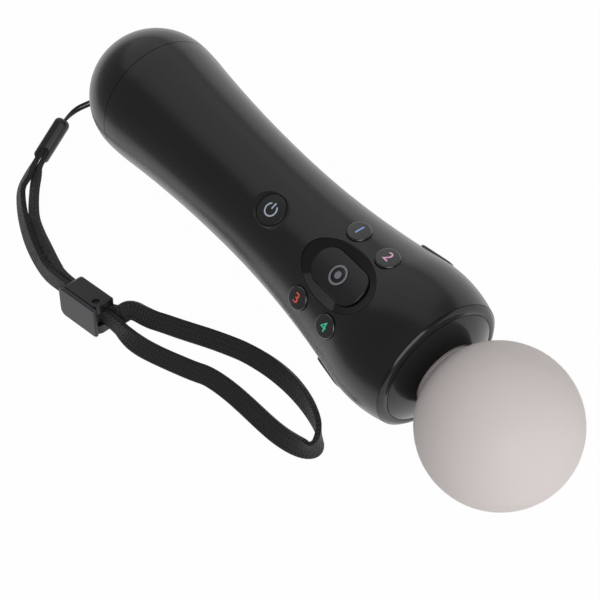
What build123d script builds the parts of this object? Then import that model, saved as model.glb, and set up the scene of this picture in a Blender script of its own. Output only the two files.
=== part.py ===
"""Wand-shaped motion controller with a round light on its head and a braided wrist strap.

Millimetres. +X runs along the body towards the light, +Z is up on the button side, and the
origin is midway along the body, on the surface that it lies on.
"""

import os
from math import cos, pi, radians, sin, sqrt, tan

from build123d import *

os.makedirs("parts", exist_ok=True)

# Overall form
overall_length = 200.0
ball_radius = 22.0
head_radius = 22.6
waist_radius = 17.4
tail_radius = 21.0
head_from_ball = 37.0  # from the middle of the light to the widest place of the head
waist_from_ball = 96.0
head_crown = 38.0  # radius of the body's long profile over the head
tail_crown = 70.0  # the same where the grip runs into the end cap
wall = 2.0
fit_gap = 0.15  # between a moulded piece and the opening that it sits in
seam_gap = 0.2
shell_overlap = 1.0  # how far a boss or rib runs into the wall that carries it

# Joints between the mouldings
lip_from_ball = 24.6  # front edge of the two shells
cap_seam_from_tail = 2.3
cap_wall = 2.2
spigot_length = 4.0
spigot_wall = 1.2

# Buttons on top
action_radius = 3.4
action_spread = 11.85  # sideways from the middle line to each small button
action_near = 47.2  # from the middle of the light to the nearer pair
action_far = 60.6
action_tilt = 30.0
action_proud = 1.2
action_travel = 0.8
guide_depth = 3.0
guide_wall = 0.65
flange_step = 0.5  # a button's flange past its bore
flange_thick = 0.7
touch_gap = 0.02  # between a stem's tip and the dome that it stands on
action_crown = 0.25  # how much a round button's face swells
home_crown = 0.12
seat_gap = 0.1  # between a flange and the face that stops it
stem_radius = 1.5
edge_round = 0.45
home_from_ball = 85.7
home_radius = 4.7
home_travel = 0.6
home_depth = 0.5  # the button's face below the skin
recess_radius = 6.6
recess_slope = 0.85
main_from_ball = 54.0
main_length = 20.5
main_width = 11.0
main_corner = 5.0
main_travel = 0.8
main_depth = 0.6  # the button's face below the crest of the skin
main_slope = 8.3
bezel_length = 28.4
bezel_width = 17.2
bezel_dish = 2.6  # depth of the dish at its middle
bezel_thick = 4.4
skirt_step = 1.2  # how much narrower the bezel is below the shell's wall
lug_width = 8.0
lug_reach = 1.4
lug_thick = 0.9

# Buttons at the sides
side_from_ball = 46.8
side_length = 11.3
side_width = 4.5
side_proud = 0.5
side_travel = 0.5
side_slope = 8.0  # of the skin there, along the body
side_flange_step = 0.8
side_seat = 2.9  # depth of its flange below the skin
side_stem = 0.8
switch_height = 2.0
switch_plunger = 0.4
switch_board_width = 5.6
switch_board_length = 9.0

# Trigger underneath
trigger_front_from_ball = 43.6
trigger_tail_from_ball = 73.4
trigger_width = 14.0
trigger_crest = 21.6
trigger_wall = 1.7
trigger_roof = 13.5  # how far its side walls stay from the body's axis
pivot_from_ball = 39.0
pivot_radius = 16.5
hub_radius = 3.0
pin_radius = 1.25
running_gap = 0.05
ear_thick = 2.0
slot_gap = 0.4
slot_corner = 0.6
spring_wire = 1.0
leg_length = 7.0

# Boards, frame and what they carry; heights are from the body's axis
board_height = 5.8
board_thick = 1.2
board_half_width = 12.4
board_tail_half_width = 10.4
board_front_from_ball = 33.8
board_tail_from_ball = 92.0
board_step_from_ball = 73.0
frame_thick = 1.6
frame_gap = 1.2  # between the frame and the board, where the chips sit
mat_thick = 0.8
dome_height = 1.5
dome_base = 2.6
dome_top = 1.9
chip_height = 0.9

chip_side = 4.0
processor_from_ball = 56.0
processor_side = 9.0
processor_aside = 3.0  # sideways from the middle line, as the others below
front_sensor_from_ball = 44.0
front_sensor_aside = 5.5
middle_sensor_aside = -1.0
rear_sensor_from_ball = 50.0
rear_sensor_aside = -8.0
radio_from_ball = 82.0
radio_length, radio_width = 10.0, 8.0
radio_aside = 2.0
power_from_ball = 66.0
power_side = 5.0
power_aside = -7.0
magnet_from_ball = 56.0
mat_front_from_ball = 40.0

# Battery and rumble motor
battery_length = 47.0
battery_width = 24.0
battery_height = 17.0
battery_from_tail = 15.0
rib_thick = 1.5
motor_radius = 4.8
motor_length = 11.0
motor_drop = 3.5
motor_from_battery = 19.0
motor_shaft = 1.0
weight_radius = 4.6
weight_thick = 4.6
weight_bore_length = 1.2

# Light on the head
ball_wall = 1.5
neck_radius = 9.7
neck_end_from_ball = 27.0
neck_flange_radius = 11.7
neck_flange_thick = 1.4
trim_front_from_ball = 23.5
trim_face = 4.75  # width of the ring's front face
trim_step = 1.85  # from the ring's inner edge down to its spigot's bore
collar_rise_from_ball = 20.6
led_side = 5.0
led_height = 1.6

# Ports and strap hole in the end cap
port_board_from_tip = 11.0
port_board_radius = 12.5
usb_width, usb_height = 7.7, 3.9
usb_lift = 1.0
ext_width, ext_height = 12.4, 4.2
ext_lift = 7.4
socket_wall = 0.45
contact_radius = 1.2
contact_spread = 9.5
strap_hole_radius = 2.4
strap_hole_depth = 4.2
strap_boss_wall = 1.2
strap_bar_radius = 0.55

# Screws
screw_radius = 1.0
screw_head_radius = 1.9
screw_head_height = 1.5
screw_length = 9.0
screw_seat = 5.0  # how far a shell screw's head stays below the body's axis
boss_radius = 2.4
frame_screw_length = 6.0
front_screw_from_ball = 37.5
front_screw_aside = 15.3
rear_screw_from_tail = 10.5
rear_screw_aside = 11.5
frame_rear_from_ball = 74.0
frame_front_from_ball = 36.5
frame_front_aside = 7.0
post_radius = 2.2

# Strap
cord_diameter = 1.0
strand_spread = 0.65  # of each strand from the middle, in the sleeve's nose
bore_gap = 0.3  # round the strands in the sleeve's nose
tape_width = 6.0
tape_thick = 1.65
layer_gap = 0.1  # between the two layers of tape in the lock
sleeve_width = 5.3
sleeve_height = 7.8
sleeve_corner = 2.2
sleeve_nose_round = 1.8
sleeve_tongue_round = 1.6  # of the tips of its two tongues, seen from above
sleeve_notch = 3.2  # width of the notch between the tongues
sleeve_length = 15.8
sleeve_lip = 11.2  # from the nose to the notch
sleeve_room = 3.85  # width of the room inside it
sleeve_room_start = 3.5
sleeve_heading = -77.0
sleeve_roll = 50.0  # of its long side from level
sleeve_nose = (-118.0, -28.2)
lock_length = 17.4
lock_width = 11.3
lock_body_depth = 7.55
lock_plate = 1.0
lock_overhang = 0.7  # of the plate past the body, at the loop's end
lock_floor = 0.7
lock_corner = 2.5
lock_plate_corner = 1.2
lock_edge = 0.4
lock_bevel = 0.45
lock_yaw = 10.7
lock_roll = 52.0
lock_middle = (-56.4, -63.3)
lock_pin_radius = 0.5
lock_pin_inset = 2.55  # of its axis, from the body's end and from its top alike
lock_sink_radius = 1.25
lock_sink_depth = 0.6
lock_lug_radius = 0.7
lock_lug_width = 4.8
lock_play = 0.1

# Places that follow from the sizes
axis_height = head_radius
ball_x = overall_length / 2 - ball_radius
tail_x = -overall_length / 2 + tail_radius
head_x = ball_x - head_from_ball
waist_x = ball_x - waist_from_ball
lip_x = ball_x - lip_from_ball
trim_inner = head_radius - trim_face
trim_spigot = trim_inner - trim_step
cap_seam_x = tail_x + cap_seam_from_tail
body_axis = Axis((0, 0, axis_height), (1, 0, 0))
section_plane = Plane(origin=(0, 0, axis_height), x_dir=(1, 0, 0), z_dir=(0, -1, 0))
parting_plane = Plane.XY.offset(axis_height)


def hollow_radius(far_x, far_radius, crown):
    """Radius of the hollow grip curve that is level at the waist and meets a crown smoothly."""
    rise = far_radius - waist_radius
    run = abs(far_x - waist_x)
    inner = crown - rise
    return (run**2 + inner**2 - crown**2) / (2 * rise)


front_hollow = hollow_radius(head_x, head_radius, head_crown)
rear_hollow = hollow_radius(tail_x, tail_radius, tail_crown)


def crown_to_hollow(crown_x, top_radius, crown, hollow):
    """The x where a crown of the profile runs into the hollow of the grip."""
    return crown_x + (waist_x - crown_x) * crown / (crown + hollow)


front_join_x = crown_to_hollow(head_x, head_radius, head_crown, front_hollow)
rear_join_x = crown_to_hollow(tail_x, tail_radius, tail_crown, rear_hollow)


def skin_radius(x, inset=0.0):
    """The body's radius at x, on a skin drawn in by inset."""
    if x > front_join_x:
        return head_radius - head_crown + sqrt((head_crown - inset) ** 2 - (x - head_x) ** 2)
    if x > waist_x:
        return waist_radius + front_hollow - sqrt((front_hollow + inset) ** 2 - (x - waist_x) ** 2)
    if x > rear_join_x:
        return waist_radius + rear_hollow - sqrt((rear_hollow + inset) ** 2 - (x - waist_x) ** 2)
    if x > tail_x:
        return tail_radius - tail_crown + sqrt((tail_crown - inset) ** 2 - (x - tail_x) ** 2)
    return sqrt((tail_radius - inset) ** 2 - (x - tail_x) ** 2)


def skin_arc(start_x, end_x, inset):
    """One arc of the body's profile between two places along it."""
    points = [(x, skin_radius(x, inset)) for x in (start_x, (start_x + end_x) / 2, end_x)]
    ThreePointArc(*points)


def grip_body(inset, front_x=lip_x):
    """The whole body of revolution up to front_x, its skin drawn in by inset."""
    tip_x = tail_x - tail_radius + inset
    quarter = (tail_radius - inset) / sqrt(2)
    front_corner = (front_x, skin_radius(front_x, inset))
    with BuildPart() as body:
        with BuildSketch(section_plane):
            with BuildLine():
                ThreePointArc(
                    (tip_x, 0),
                    (tail_x - quarter, quarter),
                    (tail_x, tail_radius - inset),
                )
                skin_arc(tail_x, rear_join_x, inset)
                skin_arc(rear_join_x, waist_x, inset)
                skin_arc(waist_x, front_join_x, inset)
                skin_arc(front_join_x, front_x, inset)
                Polyline(front_corner, (front_x, 0), (tip_x, 0))
            make_face()
        revolve(axis=body_axis)
    return body.part


def turned(points):
    """A ring turned about the body's axis from the corners of its section, as (x, radius)."""
    with BuildPart() as ring:
        with BuildSketch(section_plane):
            with BuildLine():
                Polyline(*points, close=True)
            make_face()
        revolve(axis=body_axis)
    return ring.part


def save(part, name):
    """Label a finished piece and write it under its own name."""
    part.label = name
    export_step(part, f"parts/{name}.step")


# Planes of the buttons: each lies on the skin, square to the way that its button moves
def action_plane(from_ball, side):
    x = ball_x - from_ball
    y = side * action_spread
    z = axis_height + sqrt(skin_radius(x) ** 2 - y**2)
    lean = radians(action_tilt) * side
    return Plane(origin=(x, y, z), x_dir=(1, 0, 0), z_dir=(0, sin(lean), cos(lean)))


# Numbered 1 to 4 from the grip's end, first the +Y side
action_planes = [
    action_plane(action_far, 1),
    action_plane(action_near, 1),
    action_plane(action_far, -1),
    action_plane(action_near, -1),
]
home_x = ball_x - home_from_ball
home_plane = Plane(origin=(home_x, 0, axis_height + skin_radius(home_x)), z_dir=(0, 0, 1))
main_x = ball_x - main_from_ball
main_plane = Plane(
    origin=(main_x, 0, axis_height + skin_radius(main_x)),
    x_dir=(cos(radians(main_slope)), 0, sin(radians(main_slope))),
    z_dir=(-sin(radians(main_slope)), 0, cos(radians(main_slope))),
)
side_x = ball_x - side_from_ball


def side_plane(side):
    lean = radians(side_slope)
    return Plane(
        origin=(side_x, side * skin_radius(side_x), axis_height),
        x_dir=(cos(lean), side * sin(lean), 0),
        z_dir=(-sin(lean), side * cos(lean), 0),
    )


side_planes = [side_plane(1), side_plane(-1)]
action_bore = action_radius + fit_gap
home_bore = home_radius + fit_gap
mat_top = axis_height + board_height + board_thick + mat_thick
dome_level = mat_top + dome_height

# Screws that join the shells, and those that hold the frame to the front shell
front_screw_x = ball_x - front_screw_from_ball
rear_screw_x = tail_x + rear_screw_from_tail
frame_front_x = ball_x - frame_front_from_ball
shell_screw_places = [
    (front_screw_x, front_screw_aside),
    (front_screw_x, -front_screw_aside),
    (rear_screw_x, rear_screw_aside),
    (rear_screw_x, -rear_screw_aside),
]
frame_screw_places = [
    (ball_x - frame_rear_from_ball, 0),
    (frame_front_x, frame_front_aside),
    (frame_front_x, -frame_front_aside),
]
rib_places = [tail_x + battery_from_tail + battery_length * share for share in (0.1, 0.5, 0.9)]
rib_seat = battery_height / 2 + running_gap

# A rib's section seen along the body: its sides run outward from the axis into the wall
rib_corners = [
    (-battery_width / 2, rib_seat),
    (battery_width / 2, rib_seat),
    (battery_width, 2 * rib_seat),
    (0, 2 * head_radius),
    (-battery_width, 2 * rib_seat),
]


def rib_plane(x):
    """Plane across the body at a rib's rear face."""
    return Plane(origin=(x - rib_thick / 2, 0, axis_height), x_dir=(0, 1, 0), z_dir=(1, 0, 0))



# Body of both shells
outer_body = grip_body(0)
inner_body = grip_body(wall)
merge_body = grip_body(wall - shell_overlap)

with BuildPart() as shell_blank:
    add(outer_body)
    add(inner_body, mode=Mode.SUBTRACT)
    split(bisect_by=Plane.YZ.offset(cap_seam_x + seam_gap / 2), keep=Keep.TOP)

# Front shell: the upper half, with every opening for the buttons
board_top = axis_height + board_height + board_thick
with BuildPart() as front_bosses:
    for plane in action_planes:
        with BuildSketch(plane.offset(-guide_depth)):
            Circle(action_bore + guide_wall)
        extrude(amount=guide_depth)
    with BuildSketch(home_plane.offset(-guide_depth - recess_slope)):
        Circle(home_bore + guide_wall + 0.6)
    extrude(amount=guide_depth)
    with BuildSketch(Plane.XY.offset(axis_height + seam_gap / 4)):
        with Locations(*shell_screw_places):
            Circle(boss_radius)
    extrude(amount=head_radius)
    with BuildSketch(Plane.XY.offset(board_top)):
        with Locations(*frame_screw_places):
            Circle(post_radius)
    extrude(amount=head_radius)
    add(merge_body, mode=Mode.INTERSECT)
    for x in rib_places:
        with BuildSketch(rib_plane(x)):
            Polygon(*rib_corners, align=None)
            Circle(skin_radius(x, wall - shell_overlap), mode=Mode.INTERSECT)
        extrude(amount=rib_thick)

with BuildPart() as front_shell:
    add(shell_blank.part)
    split(bisect_by=Plane.XY.offset(axis_height + seam_gap / 4), keep=Keep.TOP)
    add(front_bosses.part)
    for plane in action_planes:
        with BuildSketch(plane.offset(-2 * guide_depth)):
            Circle(action_bore)
        extrude(amount=3 * guide_depth, mode=Mode.SUBTRACT)
    with BuildSketch(home_plane.offset(-2 * guide_depth)):
        Circle(home_bore)
    extrude(amount=3 * guide_depth, mode=Mode.SUBTRACT)
    with BuildSketch(home_plane.offset(-recess_slope)):
        Circle(home_bore)
    with BuildSketch(home_plane):
        Circle(recess_radius)
    loft(mode=Mode.SUBTRACT)
    with BuildSketch(home_plane):
        Circle(recess_radius)
    extrude(amount=wall, mode=Mode.SUBTRACT)
    with BuildSketch(main_plane.offset(-bezel_thick - fit_gap)):
        Ellipse(bezel_length / 2 + fit_gap, bezel_width / 2 + fit_gap)
    extrude(amount=2 * bezel_thick, mode=Mode.SUBTRACT)
    pilot_length = screw_length - screw_seat + 1
    with BuildSketch(parting_plane):
        with Locations(*shell_screw_places):
            Circle(screw_radius + running_gap)
    extrude(amount=pilot_length, mode=Mode.SUBTRACT)
    with BuildSketch(Plane.XY.offset(board_top)):
        with Locations(*frame_screw_places):
            Circle(screw_radius + running_gap)
    extrude(amount=frame_screw_length - board_thick - frame_gap - frame_thick + 1, mode=Mode.SUBTRACT)
    for plane in side_planes:
        with BuildSketch(plane.offset(-side_seat)):
            SlotOverall(side_length + 2 * fit_gap, side_width + 2 * fit_gap)
        extrude(amount=2 * side_seat, mode=Mode.SUBTRACT)

# Rear shell: the lower half, with the trigger's slot, its ears and the screw wells
trigger_tail_x = ball_x - trigger_tail_from_ball
trigger_front_x = ball_x - trigger_front_from_ball
pivot_x = ball_x - pivot_from_ball
pivot_z = axis_height - pivot_radius
slot_tail_x = trigger_tail_x - slot_gap
slot_front_x = trigger_front_x + slot_gap
slot_width = trigger_width + 2 * slot_gap
pivot_axis_plane = Plane(origin=(pivot_x, 0, pivot_z), x_dir=(1, 0, 0), z_dir=(0, -1, 0))
with BuildPart() as rear_bosses:
    with BuildSketch(Plane.XY.offset(axis_height - seam_gap / 4)):
        with Locations(*shell_screw_places):
            Circle(boss_radius)
    extrude(amount=-head_radius)
    ear_middle = slot_width / 2 + ear_thick / 2
    with Locations((pivot_x, ear_middle, pivot_z + hub_radius), (pivot_x, -ear_middle, pivot_z + hub_radius)):
        Box(
            2 * hub_radius,
            ear_thick,
            head_radius,
            align=(Align.CENTER, Align.CENTER, Align.MAX),
        )
    add(merge_body, mode=Mode.INTERSECT)
    for x in rib_places:
        with BuildSketch(rib_plane(x)):
            Polygon(*[(y, -z) for y, z in rib_corners[::-1]], align=None)
            Circle(skin_radius(x, wall - shell_overlap), mode=Mode.INTERSECT)
        extrude(amount=rib_thick)

with BuildPart() as rear_shell:
    add(shell_blank.part)
    split(bisect_by=Plane.XY.offset(axis_height - seam_gap / 4), keep=Keep.BOTTOM)
    add(rear_bosses.part)
    with BuildSketch(Plane.XY):
        with Locations(((slot_tail_x + slot_front_x) / 2, 0)):
            RectangleRounded(slot_front_x - slot_tail_x, slot_width, slot_corner)
    extrude(amount=axis_height - trigger_roof, mode=Mode.SUBTRACT)
    with BuildSketch(pivot_axis_plane):
        Circle(pin_radius + running_gap / 2)
    extrude(amount=slot_width / 2 + ear_thick, both=True, mode=Mode.SUBTRACT)
    with BuildSketch(Plane.XY):
        with Locations(*shell_screw_places):
            Circle(screw_head_radius + fit_gap)
    extrude(amount=axis_height - screw_seat, mode=Mode.SUBTRACT)
    with BuildSketch(Plane.XY):
        with Locations(*shell_screw_places):
            Circle(screw_radius + running_gap)
    extrude(amount=axis_height, mode=Mode.SUBTRACT)
    for plane in side_planes:
        with BuildSketch(plane.offset(-side_seat)):
            SlotOverall(side_length + 2 * fit_gap, side_width + 2 * fit_gap)
        extrude(amount=2 * side_seat, mode=Mode.SUBTRACT)

save(front_shell.part, "front_shell")
save(rear_shell.part, "rear_shell")

# Screws through the rear shell into the front shell's bosses
with BuildPart() as shell_screws:
    with BuildSketch(Plane.XY.offset(axis_height - screw_seat)):
        with Locations(*shell_screw_places):
            Circle(screw_radius)
    extrude(amount=screw_length)
    with BuildSketch(Plane.XY.offset(axis_height - screw_seat - screw_head_height)):
        with Locations(*shell_screw_places):
            Circle(screw_head_radius)
            RegularPolygon(radius=1.0, side_count=6, mode=Mode.SUBTRACT)
    extrude(amount=screw_head_height / 2)
    with BuildSketch(Plane.XY.offset(axis_height - screw_seat - screw_head_height / 2)):
        with Locations(*shell_screw_places):
            Circle(screw_head_radius)
    extrude(amount=screw_head_height / 2)
save(shell_screws.part, "shell_screws")

# Bezel round the main button: an oval plug with a dished top and a lug at each end
dish_long = (bezel_length / 2) ** 2 / (2 * bezel_dish)
skin_drop = (bezel_width / 2) ** 2 / (2 * skin_radius(main_x))
dish_wide = (bezel_width / 2) ** 2 / (2 * (bezel_dish - skin_drop))
dish_top = dish_wide - bezel_dish
dish_reach = bezel_length * 0.7
dish_end = dish_long - bezel_dish - sqrt(dish_long**2 - dish_reach**2)
main_section = Plane(origin=main_plane.origin, x_dir=main_plane.x_dir, z_dir=-main_plane.y_dir)
with BuildPart() as dish_barrel:
    with BuildSketch(main_section):
        with BuildLine():
            ThreePointArc((-dish_reach, dish_end), (0, -bezel_dish), (dish_reach, dish_end))
            Polyline(
                (dish_reach, dish_end),
                (dish_reach, dish_top),
                (-dish_reach, dish_top),
                (-dish_reach, dish_end),
            )
        make_face()
    revolve(axis=Axis(main_plane.from_local_coords((0, 0, dish_top)), main_plane.x_dir))

bezel_lug_top = wall + 0.6
with BuildPart() as main_bezel:
    with BuildSketch(main_plane.offset(-bezel_thick)):
        Ellipse(bezel_length / 2, bezel_width / 2)
    extrude(amount=2 * bezel_thick)
    add(outer_body, mode=Mode.INTERSECT)
    with BuildSketch(main_plane.offset(-bezel_thick)):
        Ellipse(bezel_length / 2, bezel_width / 2)
        Ellipse(bezel_length / 2 - skirt_step, bezel_width / 2 - skirt_step, mode=Mode.SUBTRACT)
    extrude(amount=bezel_thick - bezel_lug_top, mode=Mode.SUBTRACT)
    with BuildSketch(main_plane.offset(-bezel_lug_top - lug_thick)):
        Rectangle(bezel_length + 2 * lug_reach, lug_width)
    extrude(amount=lug_thick)
    add(dish_barrel.part, mode=Mode.SUBTRACT)
    with BuildSketch(main_plane.offset(-2 * bezel_thick)):
        RectangleRounded(main_length + 2 * fit_gap, main_width + 2 * fit_gap, main_corner + fit_gap)
    extrude(amount=3 * bezel_thick, mode=Mode.SUBTRACT)
save(main_bezel.part, "main_bezel")


# Buttons
def stem_end(plane):
    """Depth of the middle of a stem's round tip, which stands on the mat's dome."""
    height = plane.origin.Z - dome_level - stem_radius - touch_gap
    return height / plane.z_dir.Z


def round_button(plane, radius, top, crown, flange_top):
    """A round button with its flange and stem, turned about the way that it moves."""
    turning_plane = Plane(origin=plane.origin, x_dir=plane.x_dir, z_dir=-plane.y_dir)
    flange_radius = radius + flange_step
    flange_bottom = flange_top + flange_thick
    shoulder = top - crown - edge_round
    slant = edge_round * (1 - 1 / sqrt(2))
    tip = stem_end(plane)
    with BuildPart() as button:
        with BuildSketch(turning_plane):
            with BuildLine():
                ThreePointArc(
                    (0, top),
                    ((radius - edge_round) / 2, top - crown / 4),
                    (radius - edge_round, top - crown),
                )
                ThreePointArc(
                    (radius - edge_round, top - crown),
                    (radius - slant, shoulder + edge_round - slant),
                    (radius, shoulder),
                )
                Polyline(
                    (radius, shoulder),
                    (radius, -flange_top),
                    (flange_radius, -flange_top),
                    (flange_radius, -flange_bottom),
                    (stem_radius, -flange_bottom),
                    (stem_radius, -tip),
                )
                ThreePointArc(
                    (stem_radius, -tip),
                    (stem_radius / sqrt(2), -tip - stem_radius / sqrt(2)),
                    (0, -tip - stem_radius),
                )
                Line((0, -tip - stem_radius), (0, top))
            make_face()
        revolve(axis=Axis(plane.origin, plane.z_dir))
    return button.part


for number, plane in enumerate(action_planes, start=1):
    button = round_button(plane, action_radius, action_proud, action_crown, guide_depth + seat_gap)
    save(button, f"action_button_{number}")

home_seat = guide_depth + recess_slope + seat_gap
save(round_button(home_plane, home_radius, -home_depth, home_crown, home_seat), "home_button")

main_seat = bezel_thick + seat_gap
main_bottom = main_seat + lug_thick
with BuildPart() as main_button:
    with BuildSketch(main_plane.offset(-main_bottom)):
        RectangleRounded(main_length, main_width, main_corner)
    extrude(amount=2 * bezel_thick)
    add(grip_body(main_depth), mode=Mode.INTERSECT)
    fillet(main_button.faces().sort_by(Axis(main_plane.origin, main_plane.z_dir))[-1].edges(), edge_round)
    with BuildSketch(main_plane.offset(-main_bottom)):
        Rectangle(main_length + 2 * lug_reach, lug_width)
    extrude(amount=lug_thick)
    with BuildSketch(main_plane.offset(-main_bottom)):
        Circle(stem_radius)
    extrude(amount=main_bottom - stem_end(main_plane))
    with Locations(main_plane.from_local_coords((0, 0, -stem_end(main_plane)))):
        Sphere(stem_radius)
save(main_button.part, "main_button")

for plane, name in zip(side_planes, ("side_button_left", "side_button_right")):
    with BuildPart() as side_button:
        with BuildSketch(plane.offset(-side_seat - flange_thick)):
            SlotOverall(side_length, side_width)
        extrude(amount=side_seat + flange_thick + side_proud)
        fillet(side_button.faces().sort_by(Axis(plane.origin, plane.z_dir))[-1].edges(), edge_round)
        with BuildSketch(plane.offset(-side_seat - flange_thick)):
            SlotOverall(side_length + 2 * side_flange_step, side_width + 2 * side_flange_step)
        extrude(amount=flange_thick)
        with BuildSketch(plane.offset(-side_seat - flange_thick - side_stem)):
            Circle(stem_radius)
        extrude(amount=side_stem)
    save(side_button.part, name)

# Switches for the side buttons, each on a small upright board
switch_top = side_seat + flange_thick + side_stem + side_travel + seat_gap
with BuildPart() as side_switches:
    for plane in side_planes:
        with BuildSketch(plane.offset(-switch_top)):
            Circle(stem_radius)
        extrude(amount=-switch_plunger)
        with BuildSketch(plane.offset(-switch_top - switch_plunger)):
            Rectangle(4.5, 3.5)
        extrude(amount=-switch_height)
        with BuildSketch(plane.offset(-switch_top - switch_plunger - switch_height)):
            Rectangle(switch_board_length, switch_board_width)
        extrude(amount=-board_thick)
save(side_switches.part, "side_switches")

# Silicone mat: a sheet on the board with a dome under every stem
stem_planes = [*action_planes, home_plane, main_plane]
dome_places = [p.from_local_coords((0, 0, -stem_end(p))) for p in stem_planes]
mat_front_x = ball_x - mat_front_from_ball
mat_tail_x = ball_x - board_tail_from_ball + 0.5
with BuildPart() as button_mat:
    with BuildSketch(Plane.XY.offset(board_top)):
        with Locations(((mat_front_x + mat_tail_x) / 2, 0)):
            RectangleRounded(mat_front_x - mat_tail_x, 2 * board_tail_half_width - 1, 2.0)
        with Locations(frame_screw_places[0]):
            Circle(post_radius + 2 * fit_gap, mode=Mode.SUBTRACT)
    extrude(amount=mat_thick)
    for place in dome_places:
        with BuildSketch(Plane.XY.offset(mat_top)):
            with Locations((place.X, place.Y)):
                Circle(dome_base)
        with BuildSketch(Plane.XY.offset(dome_level)):
            with Locations((place.X, place.Y)):
                Circle(dome_top)
        loft()
    fillet(button_mat.faces().filter_by(Axis.Z).sort_by(Axis.Z)[-1].edges(), 0.2)
save(button_mat.part, "button_mat")

# Main board, the frame that carries it, and the chips between them
board_front_x = ball_x - board_front_from_ball
board_tail_x = ball_x - board_tail_from_ball
board_step_x = ball_x - board_step_from_ball
board_corners = [
    (board_tail_x, -board_tail_half_width),
    (board_step_x, -board_tail_half_width),
    (board_step_x, -board_half_width),
    (board_front_x, -board_half_width),
    (board_front_x, board_half_width),
    (board_step_x, board_half_width),
    (board_step_x, board_tail_half_width),
    (board_tail_x, board_tail_half_width),
]
board_bottom = axis_height + board_height
frame_top = board_bottom - frame_gap
frame_bottom = frame_top - frame_thick
standoff_places = [
    (board_front_x - 2.2, board_half_width - 2.2),
    (board_front_x - 2.2, 2.2 - board_half_width),
    (board_tail_x + 2.2, board_tail_half_width - 2.2),
    (board_tail_x + 2.2, 2.2 - board_tail_half_width),
]
with BuildPart() as main_board:
    with BuildSketch(Plane.XY.offset(board_bottom)):
        Polygon(*board_corners, align=None)
        with Locations(*frame_screw_places):
            Circle(screw_radius + fit_gap, mode=Mode.SUBTRACT)
    extrude(amount=board_thick)
save(main_board.part, "main_board")

with BuildPart() as inner_frame:
    with BuildSketch(Plane.XY.offset(frame_bottom)):
        Polygon(*board_corners, align=None)
    extrude(amount=frame_thick)
    with BuildSketch(Plane.XY.offset(frame_top)):
        with Locations(*standoff_places):
            Circle(1.6)
        with Locations(*frame_screw_places):
            Circle(post_radius)
    extrude(amount=frame_gap)
    with BuildSketch(Plane.XY.offset(frame_bottom)):
        with Locations(*frame_screw_places):
            Circle(screw_radius + fit_gap)
    extrude(amount=frame_thick + frame_gap, mode=Mode.SUBTRACT)
save(inner_frame.part, "inner_frame")

with BuildPart() as frame_screws:
    with BuildSketch(Plane.XY.offset(frame_bottom)):
        with Locations(*frame_screw_places):
            Circle(screw_radius)
    extrude(amount=frame_screw_length)
    with BuildSketch(Plane.XY.offset(frame_bottom)):
        with Locations(*frame_screw_places):
            Circle(screw_head_radius)
    extrude(amount=-screw_head_height)
save(frame_screws.part, "frame_screws")


def chips(name, places, length, width, height):
    """Chips soldered under the main board."""
    with BuildPart() as group:
        with Locations(*[(x, y, board_bottom) for x, y in places]):
            Box(length, width, height, align=(Align.CENTER, Align.CENTER, Align.MAX))
    save(group.part, name)


processor_x = ball_x - processor_from_ball
front_sensor_x = ball_x - front_sensor_from_ball
sensor_places = [
    (front_sensor_x, front_sensor_aside),
    (front_sensor_x, middle_sensor_aside),
    (ball_x - rear_sensor_from_ball, rear_sensor_aside),
]
radio_x = ball_x - radio_from_ball
chips("processor", [(processor_x, processor_aside)], processor_side, processor_side, chip_height)
chips("motion_sensors", sensor_places, chip_side, chip_side, chip_height)
chips("radio_module", [(radio_x, radio_aside)], radio_length, radio_width, chip_height)
chips("power_chip", [(ball_x - power_from_ball, power_aside)], power_side, power_side, chip_height)

# Trigger: a turned outer face, a hollow back, and a hub round its pin
coil_radius = pin_radius + running_gap + spring_wire
tongue_radius = skin_radius(trigger_front_x, wall) - seat_gap - 0.2
tongue_x = pivot_x + 2.4
crest_x = trigger_tail_x + 6.4
middle_x = (crest_x + trigger_front_x) / 2
front_face_radius = skin_radius(trigger_front_x) - 0.3
with BuildPart() as trigger:
    with BuildSketch(section_plane):
        with BuildLine():
            ThreePointArc(
                (trigger_front_x, front_face_radius),
                (middle_x, trigger_crest - 0.8),
                (crest_x, trigger_crest),
            )
            ThreePointArc(
                (crest_x, trigger_crest),
                (trigger_tail_x + 1.5, trigger_crest - 1.6),
                (trigger_tail_x, trigger_crest - 4.0),
            )
            Polyline(
                (trigger_tail_x, trigger_crest - 4.0),
                (trigger_tail_x, trigger_roof),
                (tongue_x, trigger_roof),
                (tongue_x, tongue_radius),
                (trigger_front_x, tongue_radius),
                (trigger_front_x, front_face_radius),
            )
        make_face()
    revolve(axis=body_axis)
    with Locations((0, 0, axis_height - trigger_roof)):
        Box(
            overall_length,
            trigger_width,
            head_radius,
            align=(Align.CENTER, Align.CENTER, Align.MAX),
            mode=Mode.INTERSECT,
        )
    pocket_width = trigger_width - 2 * trigger_wall
    pocket_floor = trigger_crest - 0.8 - 2 * trigger_wall
    with Locations(((trigger_tail_x + tongue_x) / 2, 0, axis_height)):
        Box(
            tongue_x - trigger_tail_x - 2 * trigger_wall,
            pocket_width,
            2 * pocket_floor,
            mode=Mode.SUBTRACT,
        )
    with BuildSketch(pivot_axis_plane.offset(-pocket_width / 2)):
        Circle(hub_radius)
    extrude(amount=pocket_width - 2 * spring_wire)
    with BuildSketch(pivot_axis_plane.offset(pocket_width / 2 - 2 * spring_wire)):
        Circle(coil_radius + fit_gap)
    extrude(amount=2 * spring_wire, mode=Mode.SUBTRACT)
    with BuildSketch(pivot_axis_plane):
        Circle(pin_radius + running_gap)
    extrude(amount=trigger_width, both=True, mode=Mode.SUBTRACT)
save(trigger.part, "trigger")

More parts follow.
